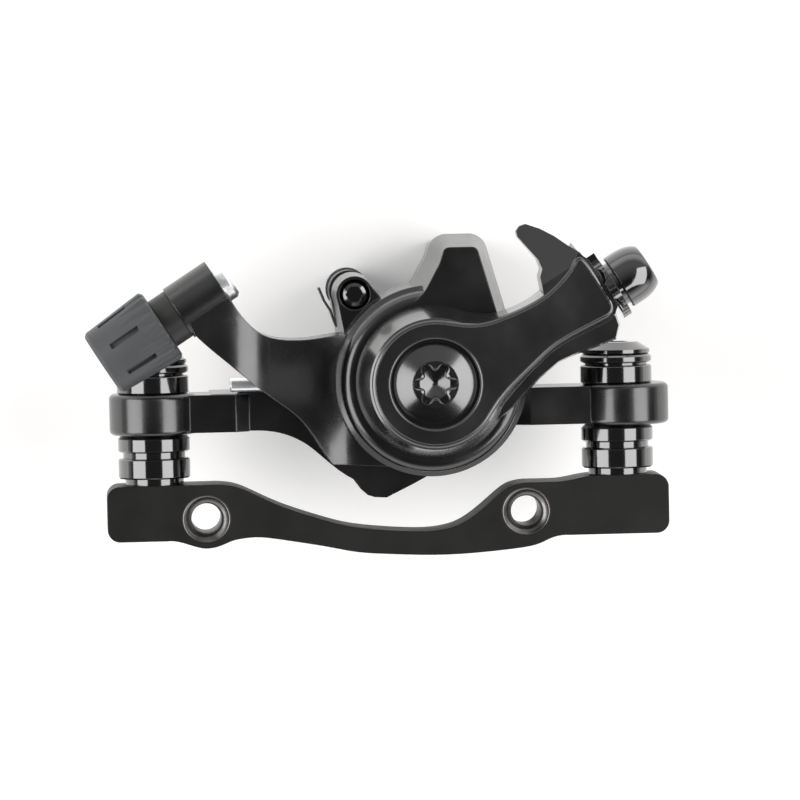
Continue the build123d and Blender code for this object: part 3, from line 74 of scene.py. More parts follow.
# The camera stands 0.95 m off, 3 degrees to the left and 3 degrees above the arm's side, and
# leans 1.2 degrees. Its lens gives the photograph's scale, 6.28 pixels to a millimetre at the
# adapter's face.
CAMERA_PLACE = (-0.04394, -0.94674, 0.06789)
CAMERA_AZIMUTH = math.radians(3.0)
CAMERA_ELEVATION = math.radians(3.0)
CAMERA_LEAN = math.radians(1.2)
CAMERA_DISTANCE = 0.95
CAMERA_CLIP = 0.01
PIXELS_PER_METRE = 6280.0
FRAME_PIXELS = 800
SENSOR_MM = 36.0

ahead = np.array([
    math.sin(CAMERA_AZIMUTH) * math.cos(CAMERA_ELEVATION),
    math.cos(CAMERA_AZIMUTH) * math.cos(CAMERA_ELEVATION),
    -math.sin(CAMERA_ELEVATION),
])
aside = np.array([math.cos(CAMERA_AZIMUTH), -math.sin(CAMERA_AZIMUTH), 0.0])
upward = np.cross(aside, ahead)
image_right = math.cos(CAMERA_LEAN) * aside - math.sin(CAMERA_LEAN) * upward
image_up = math.sin(CAMERA_LEAN) * aside + math.cos(CAMERA_LEAN) * upward

camera_data = bpy.data.cameras.new("camera")
camera_data.sensor_width = SENSOR_MM
camera_data.lens = SENSOR_MM * CAMERA_DISTANCE * PIXELS_PER_METRE / FRAME_PIXELS
camera_data.clip_start = CAMERA_CLIP
camera = bpy.data.objects.new("camera", camera_data)
camera.matrix_world = Matrix([
    [image_right[row], image_up[row], -ahead[row], CAMERA_PLACE[row]] for row in range(3)
] + [[0, 0, 0, 1]])
scene.collection.objects.link(camera)
scene.camera = camera


# The studio's room: white where the camera and glass look at it, dim where it lights the
# caliper, and dark in mirrors but for the side behind the caliper, the ceiling, and the foot of
# the walls over and under it, which give its black coats their bright flanks and edges.
WHITE = "#ffffff"
ROOM_SEEN = 1.0
ROOM_FILL = 0.18
ROOM_MIRRORED = 0.035
CEILING_MIRRORED = 0.5
WALL_MIRRORED = 1.6
# The Y or Z of a mirrored direction, from where each side of the room begins to where it is full.
BEHIND_START, BEHIND_FULL = -0.25, 0.05
CEILING_START, CEILING_FULL = -0.10, 0.60
RAIL_START, RAIL_FULL = 0.25, 0.60
WALL_START, WALL_FULL = -0.65, -0.25
SRGB_KNEE, SRGB_SLOPE = 0.04045, 12.92
SRGB_LIFT, SRGB_POWER = 0.055, 2.4


def linear(hex_colour):
    """Linear RGBA of an sRGB hex colour: a straight line below the knee, a power above it."""
    channels = np.array([int(hex_colour[i:i + 2], 16) for i in (1, 3, 5)]) / 255
    bright = ((channels + SRGB_LIFT) / (1 + SRGB_LIFT)) ** SRGB_POWER
    return (*np.where(channels <= SRGB_KNEE, channels / SRGB_SLOPE, bright).tolist(), 1.0)


def add(tree, kind, inputs=None, **settings):
    """Adds a node with its settings; each input is a value or the socket that feeds it."""
    item = tree.nodes.new(kind)
    for name, value in settings.items():
        setattr(item, name, value)
    for name, value in (inputs or {}).items():
        if isinstance(value, bpy.types.NodeSocket):
            tree.links.new(value, item.inputs[name])
        else:
            item.inputs[name].default_value = value
    return item


world = bpy.data.worlds.new("white room")
world.use_nodes = True
scene.world = world
room = world.node_tree
room.nodes.clear()
room_path = add(room, "ShaderNodeLightPath")
room_way = add(room, "ShaderNodeTexCoord")
room_axes = add(room, "ShaderNodeSeparateXYZ", {0: room_way.outputs["Generated"]})
behind = add(room, "ShaderNodeMapRange", {
    "Value": room_axes.outputs["Y"], "From Min": BEHIND_START, "From Max": BEHIND_FULL,
    "To Min": 0.0, "To Max": ROOM_SEEN,
})
ceiling = add(room, "ShaderNodeMapRange", {
    "Value": room_axes.outputs["Z"], "From Min": CEILING_START, "From Max": CEILING_FULL,
    "To Min": ROOM_MIRRORED, "To Max": CEILING_MIRRORED,
})
level_way = add(room, "ShaderNodeMath", {0: room_axes.outputs["Z"]}, operation="ABSOLUTE")
rail = add(room, "ShaderNodeMapRange", {
    "Value": level_way.outputs[0], "From Min": RAIL_START, "From Max": RAIL_FULL,
    "To Min": 0.0, "To Max": 1.0,
})
low_wall = add(room, "ShaderNodeMapRange", {
    "Value": room_axes.outputs["Y"], "From Min": WALL_START, "From Max": WALL_FULL,
    "To Min": 0.0, "To Max": WALL_MIRRORED,
})
walls = add(room, "ShaderNodeMath", {
    0: rail.outputs[0], 1: low_wall.outputs[0],
}, operation="MULTIPLY")
half_around = add(room, "ShaderNodeMath", {
    0: behind.outputs[0], 1: ceiling.outputs[0],
}, operation="MAXIMUM")
around = add(room, "ShaderNodeMath", {
    0: half_around.outputs[0], 1: walls.outputs[0],
}, operation="MAXIMUM")
mirrored = add(room, "ShaderNodeMath", {
    0: room_path.outputs["Is Glossy Ray"], 1: around.outputs[0],
}, operation="MULTIPLY")
seen = add(room, "ShaderNodeMath", {
    0: room_path.outputs["Is Camera Ray"], 1: room_path.outputs["Is Transmission Ray"],
}, operation="MAXIMUM")
seen_level = add(room, "ShaderNodeMath", {
    0: seen.outputs[0], 1: mirrored.outputs[0],
}, operation="MAXIMUM")
fill_share = add(room, "ShaderNodeMath", {
    0: room_path.outputs["Is Diffuse Ray"], 1: ROOM_FILL,
}, operation="MULTIPLY")
room_level = add(room, "ShaderNodeMath", {
    0: seen_level.outputs[0], 1: fill_share.outputs[0],
}, operation="MAXIMUM")
room_light = add(room, "ShaderNodeBackground", {
    "Color": linear(WHITE), "Strength": room_level.outputs[0],
})
add(room, "ShaderNodeOutputWorld", {"Surface": room_light.outputs[0]})


# The caliper lies on a white laminate table, wheel side down, and keeps its shadow there. The
# table glows a little in the camera and in mirrors, fades to plain white away from the caliper,
# and is open from below, so that views from the wheel's side see the caliper too.
TABLE_SIZE = 4.0
TABLE_GAP = 0.0003
TABLE_WHITE = "#f6f5f4"
TABLE_GLOW = 0.18
FADE_START, FADE_END = 0.06, 0.15

table_y = cad_box[1][1] + TABLE_GAP
half = TABLE_SIZE / 2
table_corners = [(-half, -half), (half, -half), (half, half), (-half, half)]
table_mesh = bpy.data.meshes.new("table_top")
table_mesh.from_pydata([(x, table_y, z) for x, z in table_corners], [], [(0, 1, 2, 3)])
table = bpy.data.objects.new("table_top", table_mesh)
scene.collection.objects.link(table)
table.visible_shadow = False

table_paint = bpy.data.materials.new("white laminate")
table_paint.use_nodes = True
table_tree = table_paint.node_tree
table_tree.nodes.clear()
table_path = add(table_tree, "ShaderNodeLightPath")
table_side = add(table_tree, "ShaderNodeNewGeometry")
table_far = add(table_tree, "ShaderNodeMath", {
    0: table_path.outputs["Is Camera Ray"], 1: table_path.outputs["Is Glossy Ray"],
}, operation="MAXIMUM")
table_matte = add(table_tree, "ShaderNodeBsdfDiffuse", {"Color": linear(TABLE_WHITE)})
table_glow = add(table_tree, "ShaderNodeEmission", {
    "Color": linear(WHITE), "Strength": TABLE_GLOW,
})
table_sum = add(table_tree, "ShaderNodeAddShader", {
    0: table_matte.outputs[0], 1: table_glow.outputs[0],
})
table_mix = add(table_tree, "ShaderNodeMixShader", {
    0: table_far.outputs[0], 1: table_matte.outputs[0], 2: table_sum.outputs[0],
})
table_place = add(table_tree, "ShaderNodeTexCoord")
table_reach = add(table_tree, "ShaderNodeVectorMath", {
    0: table_place.outputs["Object"],
}, operation="LENGTH")
table_fade = add(table_tree, "ShaderNodeMapRange", {
    "Value": table_reach.outputs["Value"], "From Min": FADE_START, "From Max": FADE_END,
    "To Min": 0.0, "To Max": 1.0,
})
table_away = add(table_tree, "ShaderNodeMath", {
    0: table_fade.outputs[0], 1: table_path.outputs["Is Camera Ray"],
}, operation="MULTIPLY")
table_plain = add(table_tree, "ShaderNodeEmission", {"Color": linear(WHITE), "Strength": 1.0})
table_shown = add(table_tree, "ShaderNodeMixShader", {
    0: table_away.outputs[0], 1: table_mix.outputs[0], 2: table_plain.outputs[0],
})
table_open = add(table_tree, "ShaderNodeBsdfTransparent")
table_top = add(table_tree, "ShaderNodeMixShader", {
    0: table_side.outputs["Backfacing"], 1: table_shown.outputs[0], 2: table_open.outputs[0],
})
add(table_tree, "ShaderNodeOutputMaterial", {"Surface": table_top.outputs[0]})
table_mesh.materials.append(table_paint)


# Two tall soft boxes stand left and right of the camera, and draw the upright bright lines on
# the round black pieces. A third one lights the wheel's side.
LIT_MIDDLE = np.array([0.0, 0.0, 0.022])


def softbox(name, turn_deg, rise_deg, distance, size, watts):
    """A lamp at a distance from the caliper's middle, turned from -Y towards +X and raised
    towards +Z, facing the middle: its back axis is the unit vector that points out to it."""
    turn, rise = math.radians(turn_deg), math.radians(rise_deg)
    back = np.array([
        math.sin(turn) * math.cos(rise), -math.cos(turn) * math.cos(rise), math.sin(rise),
    ])
    level = np.cross((0.0, 0.0, 1.0), back)
    level /= np.linalg.norm(level)
    high = np.cross(back, level)
    place = LIT_MIDDLE + distance * back
    lamp = bpy.data.lights.new(name, "AREA")
    lamp.shape = "RECTANGLE"
    lamp.size, lamp.size_y = size
    lamp.energy = watts
    holder = bpy.data.objects.new(name, lamp)
    holder.matrix_world = Matrix([
        [level[row], high[row], back[row], place[row]] for row in range(3)
    ] + [[0, 0, 0, 1]])
    scene.collection.objects.link(holder)


softbox("lamp_left", turn_deg=-52.5, rise_deg=-4.0, distance=0.7, size=(0.523, 0.72), watts=5.4)
softbox("lamp_right", turn_deg=41.5, rise_deg=-2.0, distance=0.7, size=(0.468, 0.74), watts=5.0)
softbox("lamp_behind", turn_deg=160.0, rise_deg=35.0, distance=0.8, size=(0.7, 0.5), watts=3.0)


# The caliper body is cast aluminium, machined at its bores and ears, then powder coated. It
# carries every other piece and bolts to the adapter through its two ears. The coat is a satin
# black that mirrors softly, with its edges rounded by the powder's melt.
MM = 0.001
# Tone and gloss drift over about a centimetre, as a sprayed coat's do. The grain of a coat or a
# skin is mostly finer than a pixel, 0.16 mm, so it is drawn at 0.2 mm or more and just shows.
CLOUD_MM = 9.0
CLOUD_DETAIL = 3.0
GRAIN_DETAIL = 2.0
TONE_CHANGE = 0.15
NOISE_LOW, NOISE_HIGH = 0.3, 0.7
COAT_ROUGHNESS = 0.08
COAT_EDGE_SAMPLES = 6


def coated_metal(name, colour, roughness, grain_mm, grain_depth_mm, edge_mm, sheen_change=0.06,
                 mirror=0.5, gloss_coat=0.0):
    """A dark coat or skin: a dielectric film with faint orange peel and rounded edges. A noise in
    object space moves its tone and its roughness a little, and a finer one is its grain."""
    material = bpy.data.materials.new(name)
    material.use_nodes = True
    tree = material.node_tree
    tree.nodes.clear()
    where = add(tree, "ShaderNodeTexCoord")
    cloud = add(tree, "ShaderNodeTexNoise", {
        "Vector": where.outputs["Object"], "Scale": 1 / (CLOUD_MM * MM), "Detail": CLOUD_DETAIL,
    })
    grain = add(tree, "ShaderNodeTexNoise", {
        "Vector": where.outputs["Object"], "Scale": 1 / (grain_mm * MM), "Detail": GRAIN_DETAIL,
    })
    dark = [channel * (1 - TONE_CHANGE) for channel in linear(colour)[:3]] + [1.0]
    light = [channel * (1 + TONE_CHANGE) for channel in linear(colour)[:3]] + [1.0]
    tone = add(tree, "ShaderNodeMix", {
        "Factor": cloud.outputs[0], 6: dark, 7: light,
    }, data_type="RGBA")
    gloss = add(tree, "ShaderNodeMapRange", {
        "Value": cloud.outputs[0], "From Min": NOISE_LOW, "From Max": NOISE_HIGH,
        "To Min": roughness - sheen_change, "To Max": roughness + sheen_change,
    })
    rounded = add(tree, "ShaderNodeBevel", {"Radius": edge_mm * MM}, samples=COAT_EDGE_SAMPLES)
    peel = add(tree, "ShaderNodeBump", {
        "Height": grain.outputs[0], "Strength": 1.0, "Distance": grain_depth_mm * MM,
        "Normal": rounded.outputs[0],
    })
    film = add(tree, "ShaderNodeBsdfPrincipled", {
        "Base Color": tone.outputs[2], "Roughness": gloss.outputs[0], "Normal": peel.outputs[0],
        "Specular IOR Level": mirror, "Coat Weight": gloss_coat,
        "Coat Roughness": COAT_ROUGHNESS,
    })
    add(tree, "ShaderNodeOutputMaterial", {"Surface": film.outputs[0]})
    return material


def finish_node(name, material):
    """Gives a node of the frame its finish, in place of the plain one that it came with."""
    mesh = nodes[name].data
    mesh.materials.clear()
    mesh.materials.append(material)


body_coat = coated_metal(
    "powder coated cast aluminium", "#0c0b0b", roughness=0.25, grain_mm=0.35,
    grain_depth_mm=0.003, edge_mm=0.3, mirror=0.8, gloss_coat=0.25,
)
finish_node("caliper_body", body_coat)


# The adapter is a milled aluminium bar, anodised matte black. Its two threaded holes take the
# frame's bolts, and its ends carry the two posts. Anodising has no film of its own to shine, so
# the bar looks duller and flatter than the body.
adapter_coat = coated_metal(
    "matte anodised aluminium", "#11100f", roughness=0.45, grain_mm=0.25, grain_depth_mm=0.005,
    edge_mm=0.3, mirror=0.3,
)
finish_node("mount_adapter", adapter_coat)


# The threads of the adapter's holes are cut after the black coat, so they are bare aluminium,
# and show as bright rings that catch the light. They start in the chamfer of each hole.
THREAD_PITCH = 1.0 * MM
THREAD_RIDGE = 0.10 * MM
THREAD_START = 0.10 * MM
THREAD_END = 9.9 * MM
RIDGE_SHARPNESS = 1.5
LINING_LIFT = 0.02 * MM
LINING_BACK = 0.15 * MM
CHAMFER_FOOT = 1.35 * MM
HOLE_RADIUS = 2.5 * MM
HOLE_SPACING = 51.0 * MM
THREAD_TURN_STEPS = 72
THREAD_RISE_STEPS = 120
SCRATCH_DETAIL = 4.0
METAL_EDGE_SAMPLES = 4


def grid_mesh(name, points):
    """A closed tube from a grid of points, rows by columns by 3: both directions close on
    themselves, and each square of the grid is one face."""
    rows, columns = points.shape[:2]
    row, column = np.meshgrid(np.arange(rows), np.arange(columns), indexing="ij")
    next_row, next_column = (row + 1) % rows, (column + 1) % columns
    faces = np.stack([
        row * columns + column, next_row * columns + column,
        next_row * columns + next_column, row * columns + next_column,
    ], axis=-1).reshape(-1, 4)
    mesh = bpy.data.meshes.new(name)
    mesh.from_pydata(points.reshape(-1, 3).tolist(), [], faces.tolist())
    mesh.polygons.foreach_set("use_smooth", np.ones(len(faces), bool))
    mesh.update()
    piece = bpy.data.objects.new(name, mesh)
    scene.collection.objects.link(piece)
    return piece


def hole_thread(name, centre_x):
    """The thread's lining: its radius is the hole's wall, a cone and then a cylinder, less a
    rounded ridge that climbs one pitch a turn. Its back lies in the wall, which closes it."""
    rise = np.linspace(THREAD_START, THREAD_END, THREAD_RISE_STEPS)[:, None]
    turn = np.linspace(0, 2 * math.pi, THREAD_TURN_STEPS, endpoint=False)[None, :]
    wall = HOLE_RADIUS + np.maximum(CHAMFER_FOOT - rise, 0)
    ridge = 0.5 + 0.5 * np.cos(2 * math.pi * rise / THREAD_PITCH - turn)
    front = wall - LINING_LIFT - THREAD_RIDGE * ridge ** RIDGE_SHARPNESS
    back = np.broadcast_to(wall + LINING_BACK, front.shape)
    radius = np.concatenate([front, back[::-1]])
    depth = np.broadcast_to(np.concatenate([rise, rise[::-1]]), radius.shape)
    points = np.stack([
        centre_x + radius * np.cos(turn), depth, radius * np.sin(turn),
    ], axis=-1)
    return grid_mesh(name, points)


def bare_metal(name, colour, roughness, scratch_mm, edge_mm=0.1, change=0.3):
    """Bare or plated metal: a mirror whose roughness follows fine noise in object space. Its
    real scratches are finer than a pixel, so the noise is drawn at 0.15 mm or more."""
    material = bpy.data.materials.new(name)
    material.use_nodes = True
    tree = material.node_tree
    tree.nodes.clear()
    where = add(tree, "ShaderNodeTexCoord")
    scratch = add(tree, "ShaderNodeTexNoise", {
        "Vector": where.outputs["Object"], "Scale": 1 / (scratch_mm * MM),
        "Detail": SCRATCH_DETAIL,
    })
    gloss = add(tree, "ShaderNodeMapRange", {
        "Value": scratch.outputs[0], "From Min": NOISE_LOW, "From Max": NOISE_HIGH,
        "To Min": roughness * (1 - change), "To Max": roughness * (1 + change),
    })
    rounded = add(tree, "ShaderNodeBevel", {"Radius": edge_mm * MM}, samples=METAL_EDGE_SAMPLES)
    metal = add(tree, "ShaderNodeBsdfPrincipled", {
        "Base Color": linear(colour), "Metallic": 1.0, "Roughness": gloss.outputs[0],
        "Normal": rounded.outputs[0],
    })
    add(tree, "ShaderNodeOutputMaterial", {"Surface": metal.outputs[0]})
    return material


cut_aluminium = bare_metal(
    "cut aluminium", "#7d7b79", roughness=0.30, scratch_mm=2.0, edge_mm=0.02, change=0.1,
)
for name, centre_x in (("thread_left", -HOLE_SPACING / 2), ("thread_right", HOLE_SPACING / 2)):
    thread = hole_thread(name, centre_x)
    thread.data.materials.append(cut_aluminium)
    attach(thread, "caliper")


# The actuator arm is forged aluminium, tumbled smooth and then coated. It turns on the spindle's
# hexagon, and its horn guides the cable round to the clamp at its end. The smooth coat mirrors
# more sharply than the body's, so the arm's round edges show as thin bright lines.
arm_coat = coated_metal(
    "satin coated forged aluminium", "#151515", roughness=0.22, grain_mm=0.3,
    grain_depth_mm=0.002, edge_mm=0.1, mirror=1.0, gloss_coat=0.5,
)
finish_node("actuator_arm", arm_coat)


# The arm's front is a plate that the forging die leaves proud, with a round edge: it follows
# the hub, runs along the arm to the cable's clamp, and leaves the horn behind it. Its outline is
# in millimetres along and across the arm, from the hub's middle.
ARM_TURN = math.radians(31.5)
BOLT_SUNK = 0.2 * MM
PLATE_PROUD = 0.25 * MM
PLATE_ROUND = 0.75 * MM
PLATE_OVERLAP = 0.10 * MM
PLATE_BACK = 1.6 * MM
HUB_ROUND = 10.1 * MM
PLATE_HOLE = 7.05 * MM
HOLE_ROUND = 0.35 * MM
UPPER_EDGE_MM = [
    (6.4, 7.8), (10.1, 4.76), (14.1, 3.35), (20.4, 2.46), (24.6, 3.0), (27.6, 4.0), (29.9, 5.4),
]
END_EDGE_MM = [(30.5, 3.4), (30.5, -5.1)]
LOWER_EDGE_MM = [
    (29.7, -6.0), (23.5, -5.4), (19.0, -5.2), (14.6, -5.96), (9.1, -7.15), (5.8, -8.3),
]
EDGE_STEPS = 40
HUB_STEPS = 160
PLATE_STEPS = 600
HOLE_STEPS = 180
CORNER_STEPS = 9
RIM_STEPS = 7
BACK_INSET = 0.3


def through(corners):
    """A smooth line through points: between two, the cubic whose end slopes are half the step
    between each point's neighbours."""
    knots = np.array(corners)
    slope = np.gradient(knots, axis=0)
    share = np.linspace(0, 1, EDGE_STEPS, endpoint=False)[None, :, None]
    start, end = knots[:-1, None], knots[1:, None]
    leave, arrive = slope[:-1, None], slope[1:, None]
    line = (
        start * (1 + 2 * share) * (1 - share) ** 2 + leave * share * (1 - share) ** 2
        + end * share ** 2 * (3 - 2 * share) + arrive * share ** 2 * (share - 1)
    )
    return np.concatenate([line.reshape(-1, 2), knots[-1:]])


def evenly(loop, steps):
    """The closed line through the loop's points at even steps, with its corners averaged over
    their neighbours, which rounds them."""
    closed = np.concatenate([loop, loop[:1]])
    along = np.concatenate([[0], np.cumsum(np.linalg.norm(np.diff(closed, axis=0), axis=1))])
    place = np.linspace(0, along[-1], steps, endpoint=False)
    even = np.stack([np.interp(place, along, closed[:, axis]) for axis in (0, 1)], axis=1)
    shifts = range(-CORNER_STEPS, CORNER_STEPS + 1)
    return sum(np.roll(even, shift, axis=0) for shift in shifts) / len(shifts)


def outward(loop):
    """Unit normals of a loop that runs anticlockwise: its step turned back by a quarter turn."""
    step = np.roll(loop, -1, axis=0) - np.roll(loop, 1, axis=0)
    normal = np.stack([step[:, 1], -step[:, 0]], axis=1)
    return normal / np.linalg.norm(normal, axis=1, keepdims=True)


def rounded_plate(name, outer, hole, edge_round, hole_round, front_y, back_depth, place):
    """A flat plate with a hole: each rim turns back through a quarter circle from the face, and
    the faces between the rims are filled. place turns plate points and depths into the frame."""
    rows = []
    for loop, radius, side in ((outer, edge_round, 1), (hole, hole_round, -1)):
        normal = outward(loop) * side
        for angle in np.linspace(0, math.pi / 2, RIM_STEPS):
            inset, depth = radius * (1 - math.sin(angle)), radius * (1 - math.cos(angle))
            rows.append((loop - normal * inset, depth))
        rows.append((loop - normal * radius * BACK_INSET, back_depth))
    points = [place(line, front_y + depth) for line, depth in rows]
    sizes = [len(line) for line, depth in rows]
    starts = np.concatenate([[0], np.cumsum(sizes)])
    hole_row = RIM_STEPS + 1
    faces = []
    for first, side in ((0, 1), (hole_row, -1)):
        for row in range(first, first + RIM_STEPS):
            here = starts[row] + np.arange(sizes[row])
            beside = np.roll(here, -1)
            quads = np.stack([here, beside, beside + sizes[row], here + sizes[row]], axis=1)
            faces += (quads if side > 0 else quads[:, ::-1]).tolist()
    for row, to_back in ((0, False), (RIM_STEPS, True)):
        rims = (row, row + hole_row)
        index = np.concatenate([starts[rim] + np.arange(sizes[rim]) for rim in rims])
        triangles = np.array(tessellate_polygon([points[rim].tolist() for rim in rims]))
        a, b, c = np.concatenate([points[rim] for rim in rims])[triangles].swapaxes(0, 1)
        turned = (np.cross(b - a, c - a)[:, 1] < 0) == to_back
        caps = index[triangles]
        caps[turned] = caps[turned][:, ::-1]
        faces += caps.tolist()
    mesh = bpy.data.meshes.new(name)
    mesh.from_pydata(np.concatenate(points).tolist(), [], faces)
    mesh.polygons.foreach_set("use_smooth", np.array([len(face) == 4 for face in faces]))
    mesh.update()
    piece = bpy.data.objects.new(name, mesh)
    scene.collection.objects.link(piece)
    return piece


hub_low, hub_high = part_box("arm_bolt")
HUB_X, HUB_Z = (hub_low.x + hub_high.x) / 2, (hub_low.z + hub_high.z) / 2
PLATE_FRONT = hub_low.y - BOLT_SUNK - PLATE_PROUD


def on_arm(line, depth):
    """Points of the arm's own plane, along and across it, turned up and set at a depth."""
    across, along = line[:, 1], line[:, 0]
    return np.stack([
        HUB_X + along * math.cos(ARM_TURN) - across * math.sin(ARM_TURN),
        np.full(len(line), depth),
        HUB_Z + along * math.sin(ARM_TURN) + across * math.cos(ARM_TURN),
    ], axis=1)


def circle(radius, turn):
    """Points of a circle about the hub, at each of the turns."""
    return radius * np.stack([np.cos(turn), np.sin(turn)], axis=1)


hub_start = math.atan2(UPPER_EDGE_MM[0][1], UPPER_EDGE_MM[0][0])
hub_end = 2 * math.pi + math.atan2(LOWER_EDGE_MM[-1][1], LOWER_EDGE_MM[-1][0])
plate_outline = np.concatenate([
    circle(HUB_ROUND, np.linspace(hub_start, hub_end, HUB_STEPS)),
    through(LOWER_EDGE_MM[::-1])[1:] * MM,
    through(END_EDGE_MM[::-1])[1:-1] * MM,
    through(UPPER_EDGE_MM[::-1])[:-1] * MM,
])
plate_outer = evenly(plate_outline, PLATE_STEPS)
plate_outer = plate_outer + outward(plate_outer) * PLATE_OVERLAP
plate_hole = circle(PLATE_HOLE, np.linspace(0, 2 * math.pi, HOLE_STEPS, endpoint=False))
arm_plate = rounded_plate(
    "arm_plate", plate_outer, plate_hole, PLATE_ROUND, HOLE_ROUND, PLATE_FRONT, PLATE_BACK, on_arm,
)
arm_plate.data.materials.append(arm_coat)
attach(arm_plate, "arm")


# The post bolts, their spherical washers, the cable clamp and the pad axle are steel with a
# glossy black chrome coat, which mirrors the room as black glass does: hard white bars on black.
gloss_steel = coated_metal(
    "gloss black chromed steel", "#0b0a0a", roughness=0.10, grain_mm=0.6, grain_depth_mm=0.001,
    edge_mm=0.12, sheen_change=0.03, mirror=1.0, gloss_coat=1.0,
)
for name in (
    "post_bolts", "upper_ball_washers", "upper_cup_washers", "lower_ball_washers",
    "lower_cup_washers", "cable_clamp_washer", "pinch_bolt", "pad_axle_bolt",
):
    finish_node(name, gloss_steel)


# The arm's bolt is oiled black oxide steel, a deep black with softer bars than chrome has. Its
# recess is cold forged: six points, with a rolled edge that slopes into the recess.
RECESS_RIM = 3.60 * MM
RECESS_MEAN = 2.46 * MM
RECESS_POINT = 0.58 * MM
RECESS_BACK = 3.55 * MM
RECESS_LIFT = 0.02 * MM
RECESS_ROLL = 0.85 * MM
RECESS_DEPTH = 1.85 * MM
BACK_TOP = 0.1 * MM
POINT_SHARPNESS = 0.18
WALL_TAPER = 0.04
ROLL_STEPS = 9
WALL_STEPS = 6
RECESS_TURN_STEPS = 216


def six_point_recess(name):
    """The recess's edge and wall: at each turn a line that slopes straight from the rim to the
    star's outline, goes down the wall to the floor, and back inside the metal. The outline's
    radius is a mean plus a cosine of six times the turn and a small one of twelve times."""
    turn = np.linspace(0, 2 * math.pi, RECESS_TURN_STEPS, endpoint=False)[None, :]
    points_out = np.cos(6 * turn) + POINT_SHARPNESS * np.cos(12 * turn)
    star = RECESS_MEAN + RECESS_POINT * points_out
    share = np.linspace(0, 1, ROLL_STEPS)[:, None]
    wall_share = np.linspace(0, 1, WALL_STEPS)[1:, None]
    radius = np.concatenate([
        RECESS_RIM + (star - RECESS_RIM) * share,
        star * (1 - WALL_TAPER * wall_share),
        np.full((2, RECESS_TURN_STEPS), RECESS_BACK),
    ])
    depth = np.broadcast_to(np.concatenate([
        RECESS_ROLL * share - RECESS_LIFT,
        RECESS_ROLL + (RECESS_DEPTH - RECESS_ROLL) * wall_share,
        [[RECESS_DEPTH], [BACK_TOP]],
    ]), radius.shape)
    points = np.stack([
        HUB_X + radius * np.cos(turn), hub_low.y + depth, HUB_Z + radius * np.sin(turn),
    ], axis=-1)
    return grid_mesh(name, points)


bolt_steel = coated_metal(
    "black oxide steel", "#0e0d0d", roughness=0.20, grain_mm=0.5, grain_depth_mm=0.002,
    edge_mm=0.12, sheen_change=0.05, mirror=1.0, gloss_coat=0.8,
)
finish_node("arm_bolt", bolt_steel)
recess = six_point_recess("bolt_recess")
recess.data.materials.append(bolt_steel)
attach(recess, "arm")


# The adjusting knob is moulded plastic, pressed on the hollow screw. Its skin has the mould's
# fine matte grain, which leaves it a dull dark grey with no bright lines. The collar behind it
# is turned steel with a dry black oxide, a little browner and shinier.
knob_skin = coated_metal(
    "moulded matte plastic", "#424446", roughness=0.45, grain_mm=0.2, grain_depth_mm=0.006,
    edge_mm=0.25,
)
finish_node("adjuster_knob", knob_skin)
collar_oxide = coated_metal(
    "black oxide turned steel", "#1f1d1c", roughness=0.4, grain_mm=0.25, grain_depth_mm=0.004,
    edge_mm=0.15,
)
finish_node("detent_collar", collar_oxide)


# The hollow screw, the lock screw and the adjuster plug are zinc plated, which looks silvery and
# a little cloudy. The bearing, the spindle, the foot and the balls are ground steel, darker and
# sharper. The clip and the springs are drawn wire and strip, a dull grey.
zinc = bare_metal("bright zinc plated steel", "#eef0f1", roughness=0.36, scratch_mm=0.15)
ground_steel = bare_metal("ground bearing steel", "#cfd0d0", roughness=0.18, scratch_mm=0.2)
spring_steel = bare_metal("drawn spring steel", "#9a9b9c", roughness=0.3, scratch_mm=0.2)
for name in ("threaded_barrel", "cap_lock_screw", "inboard_adjuster"):
    finish_node(name, zinc)
for name in (
    "bearing_cap", "thrust_washers", "thrust_needles", "needle_cage", "drive_spindle",
    "pressure_foot", "ramp_balls",
):
    finish_node(name, ground_steel)
finish_node("axle_clip", spring_steel)


# Three springs bend as the brake works, so each shows as a copy of its solid, in place of the
# solid. The return spring winds up between the cap and the arm, the detent spring stretches
# between the collar and the knob, and each wing of the leaf gives way to its own pad, so the
# leaf's copy is cut at the rotor's plane into one half for each wing.
ROTOR_Y = 19.35 * MM
WELD = 0.001 * MM
SPRING_CREASE = math.radians(40)


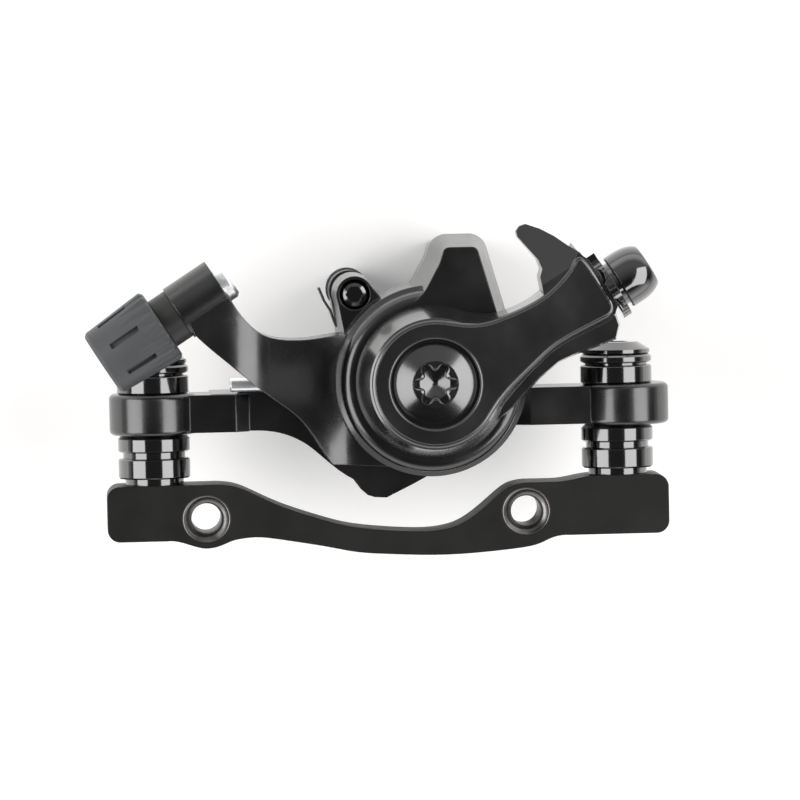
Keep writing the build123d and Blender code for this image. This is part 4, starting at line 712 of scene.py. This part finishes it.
def spring_copy(name, node, side=0):
    """A node's mesh with its loose corners joined. With a side, -1 or 1 along Y, it is only the
    half on that side of the rotor's plane, and the cut is closed."""
    joined = bmesh.new()
    joined.from_mesh(nodes[node].data)
    bmesh.ops.remove_doubles(joined, verts=joined.verts, dist=WELD)
    if side:
        bmesh.ops.bisect_plane(
            joined, geom=[*joined.verts, *joined.edges, *joined.faces],
            plane_co=(0, ROTOR_Y, 0), plane_no=(0, -side, 0), clear_outer=True,
        )
        bmesh.ops.holes_fill(joined, edges=[edge for edge in joined.edges if edge.is_boundary])
    bmesh.ops.recalc_face_normals(joined, faces=joined.faces)
    mesh = bpy.data.meshes.new(name)
    joined.to_mesh(mesh)
    joined.free()
    mesh.polygons.foreach_set("use_smooth", np.ones(len(mesh.polygons), bool))
    mesh.set_sharp_from_angle(angle=SPRING_CREASE)
    mesh.materials.clear()
    mesh.materials.append(spring_steel)
    piece = bpy.data.objects.new(name, mesh)
    scene.collection.objects.link(piece)
    return piece


wound_spring = spring_copy("wound_spring", "return_spring")
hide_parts("return_spring")
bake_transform(wound_spring)

stretched_spring = spring_copy("stretched_spring", "detent_spring")
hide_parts("detent_spring")
coil = np.empty(3 * len(stretched_spring.data.vertices), np.float32)
stretched_spring.data.vertices.foreach_get("co", coil)
coil = coil.reshape(-1, 3).astype(float)
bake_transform(stretched_spring)

for name, side, body in (("leaf_outboard", -1, "piston"), ("leaf_inboard", 1, "inboard_pad")):
    leaf = spring_copy(name, "pad_spring", side)
    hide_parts("pad_spring")
    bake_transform(leaf)


# Moulded rubber seals keep grit out of the hub, the spindle, the foot and the adjuster. They
# hardly mirror at all, and show as soft black lines.
rubber = coated_metal(
    "black nitrile rubber", "#151515", roughness=0.7, grain_mm=0.2, grain_depth_mm=0.004,
    edge_mm=0.1,
)
for name in ("spindle_seal", "hub_dust_seal", "foot_seal", "adjuster_seal"):
    finish_node(name, rubber)


# The pads are stamped steel plates with a dull black coat, and linings of friction compound that
# is pressed on them: resin and fibre, a rough dry brown that doesn't shine.
plate_coat = coated_metal(
    "black coated steel plate", "#1b1b1b", roughness=0.45, grain_mm=0.3, grain_depth_mm=0.004,
    edge_mm=0.15,
)
for name in ("outboard_pad_plate", "inboard_pad_plate"):
    finish_node(name, plate_coat)
compound = coated_metal(
    "pressed friction compound", "#4a3f37", roughness=0.85, grain_mm=0.4, grain_depth_mm=0.03,
    edge_mm=0.1,
)
for name in ("outboard_pad_lining", "inboard_pad_lining"):
    finish_node(name, compound)
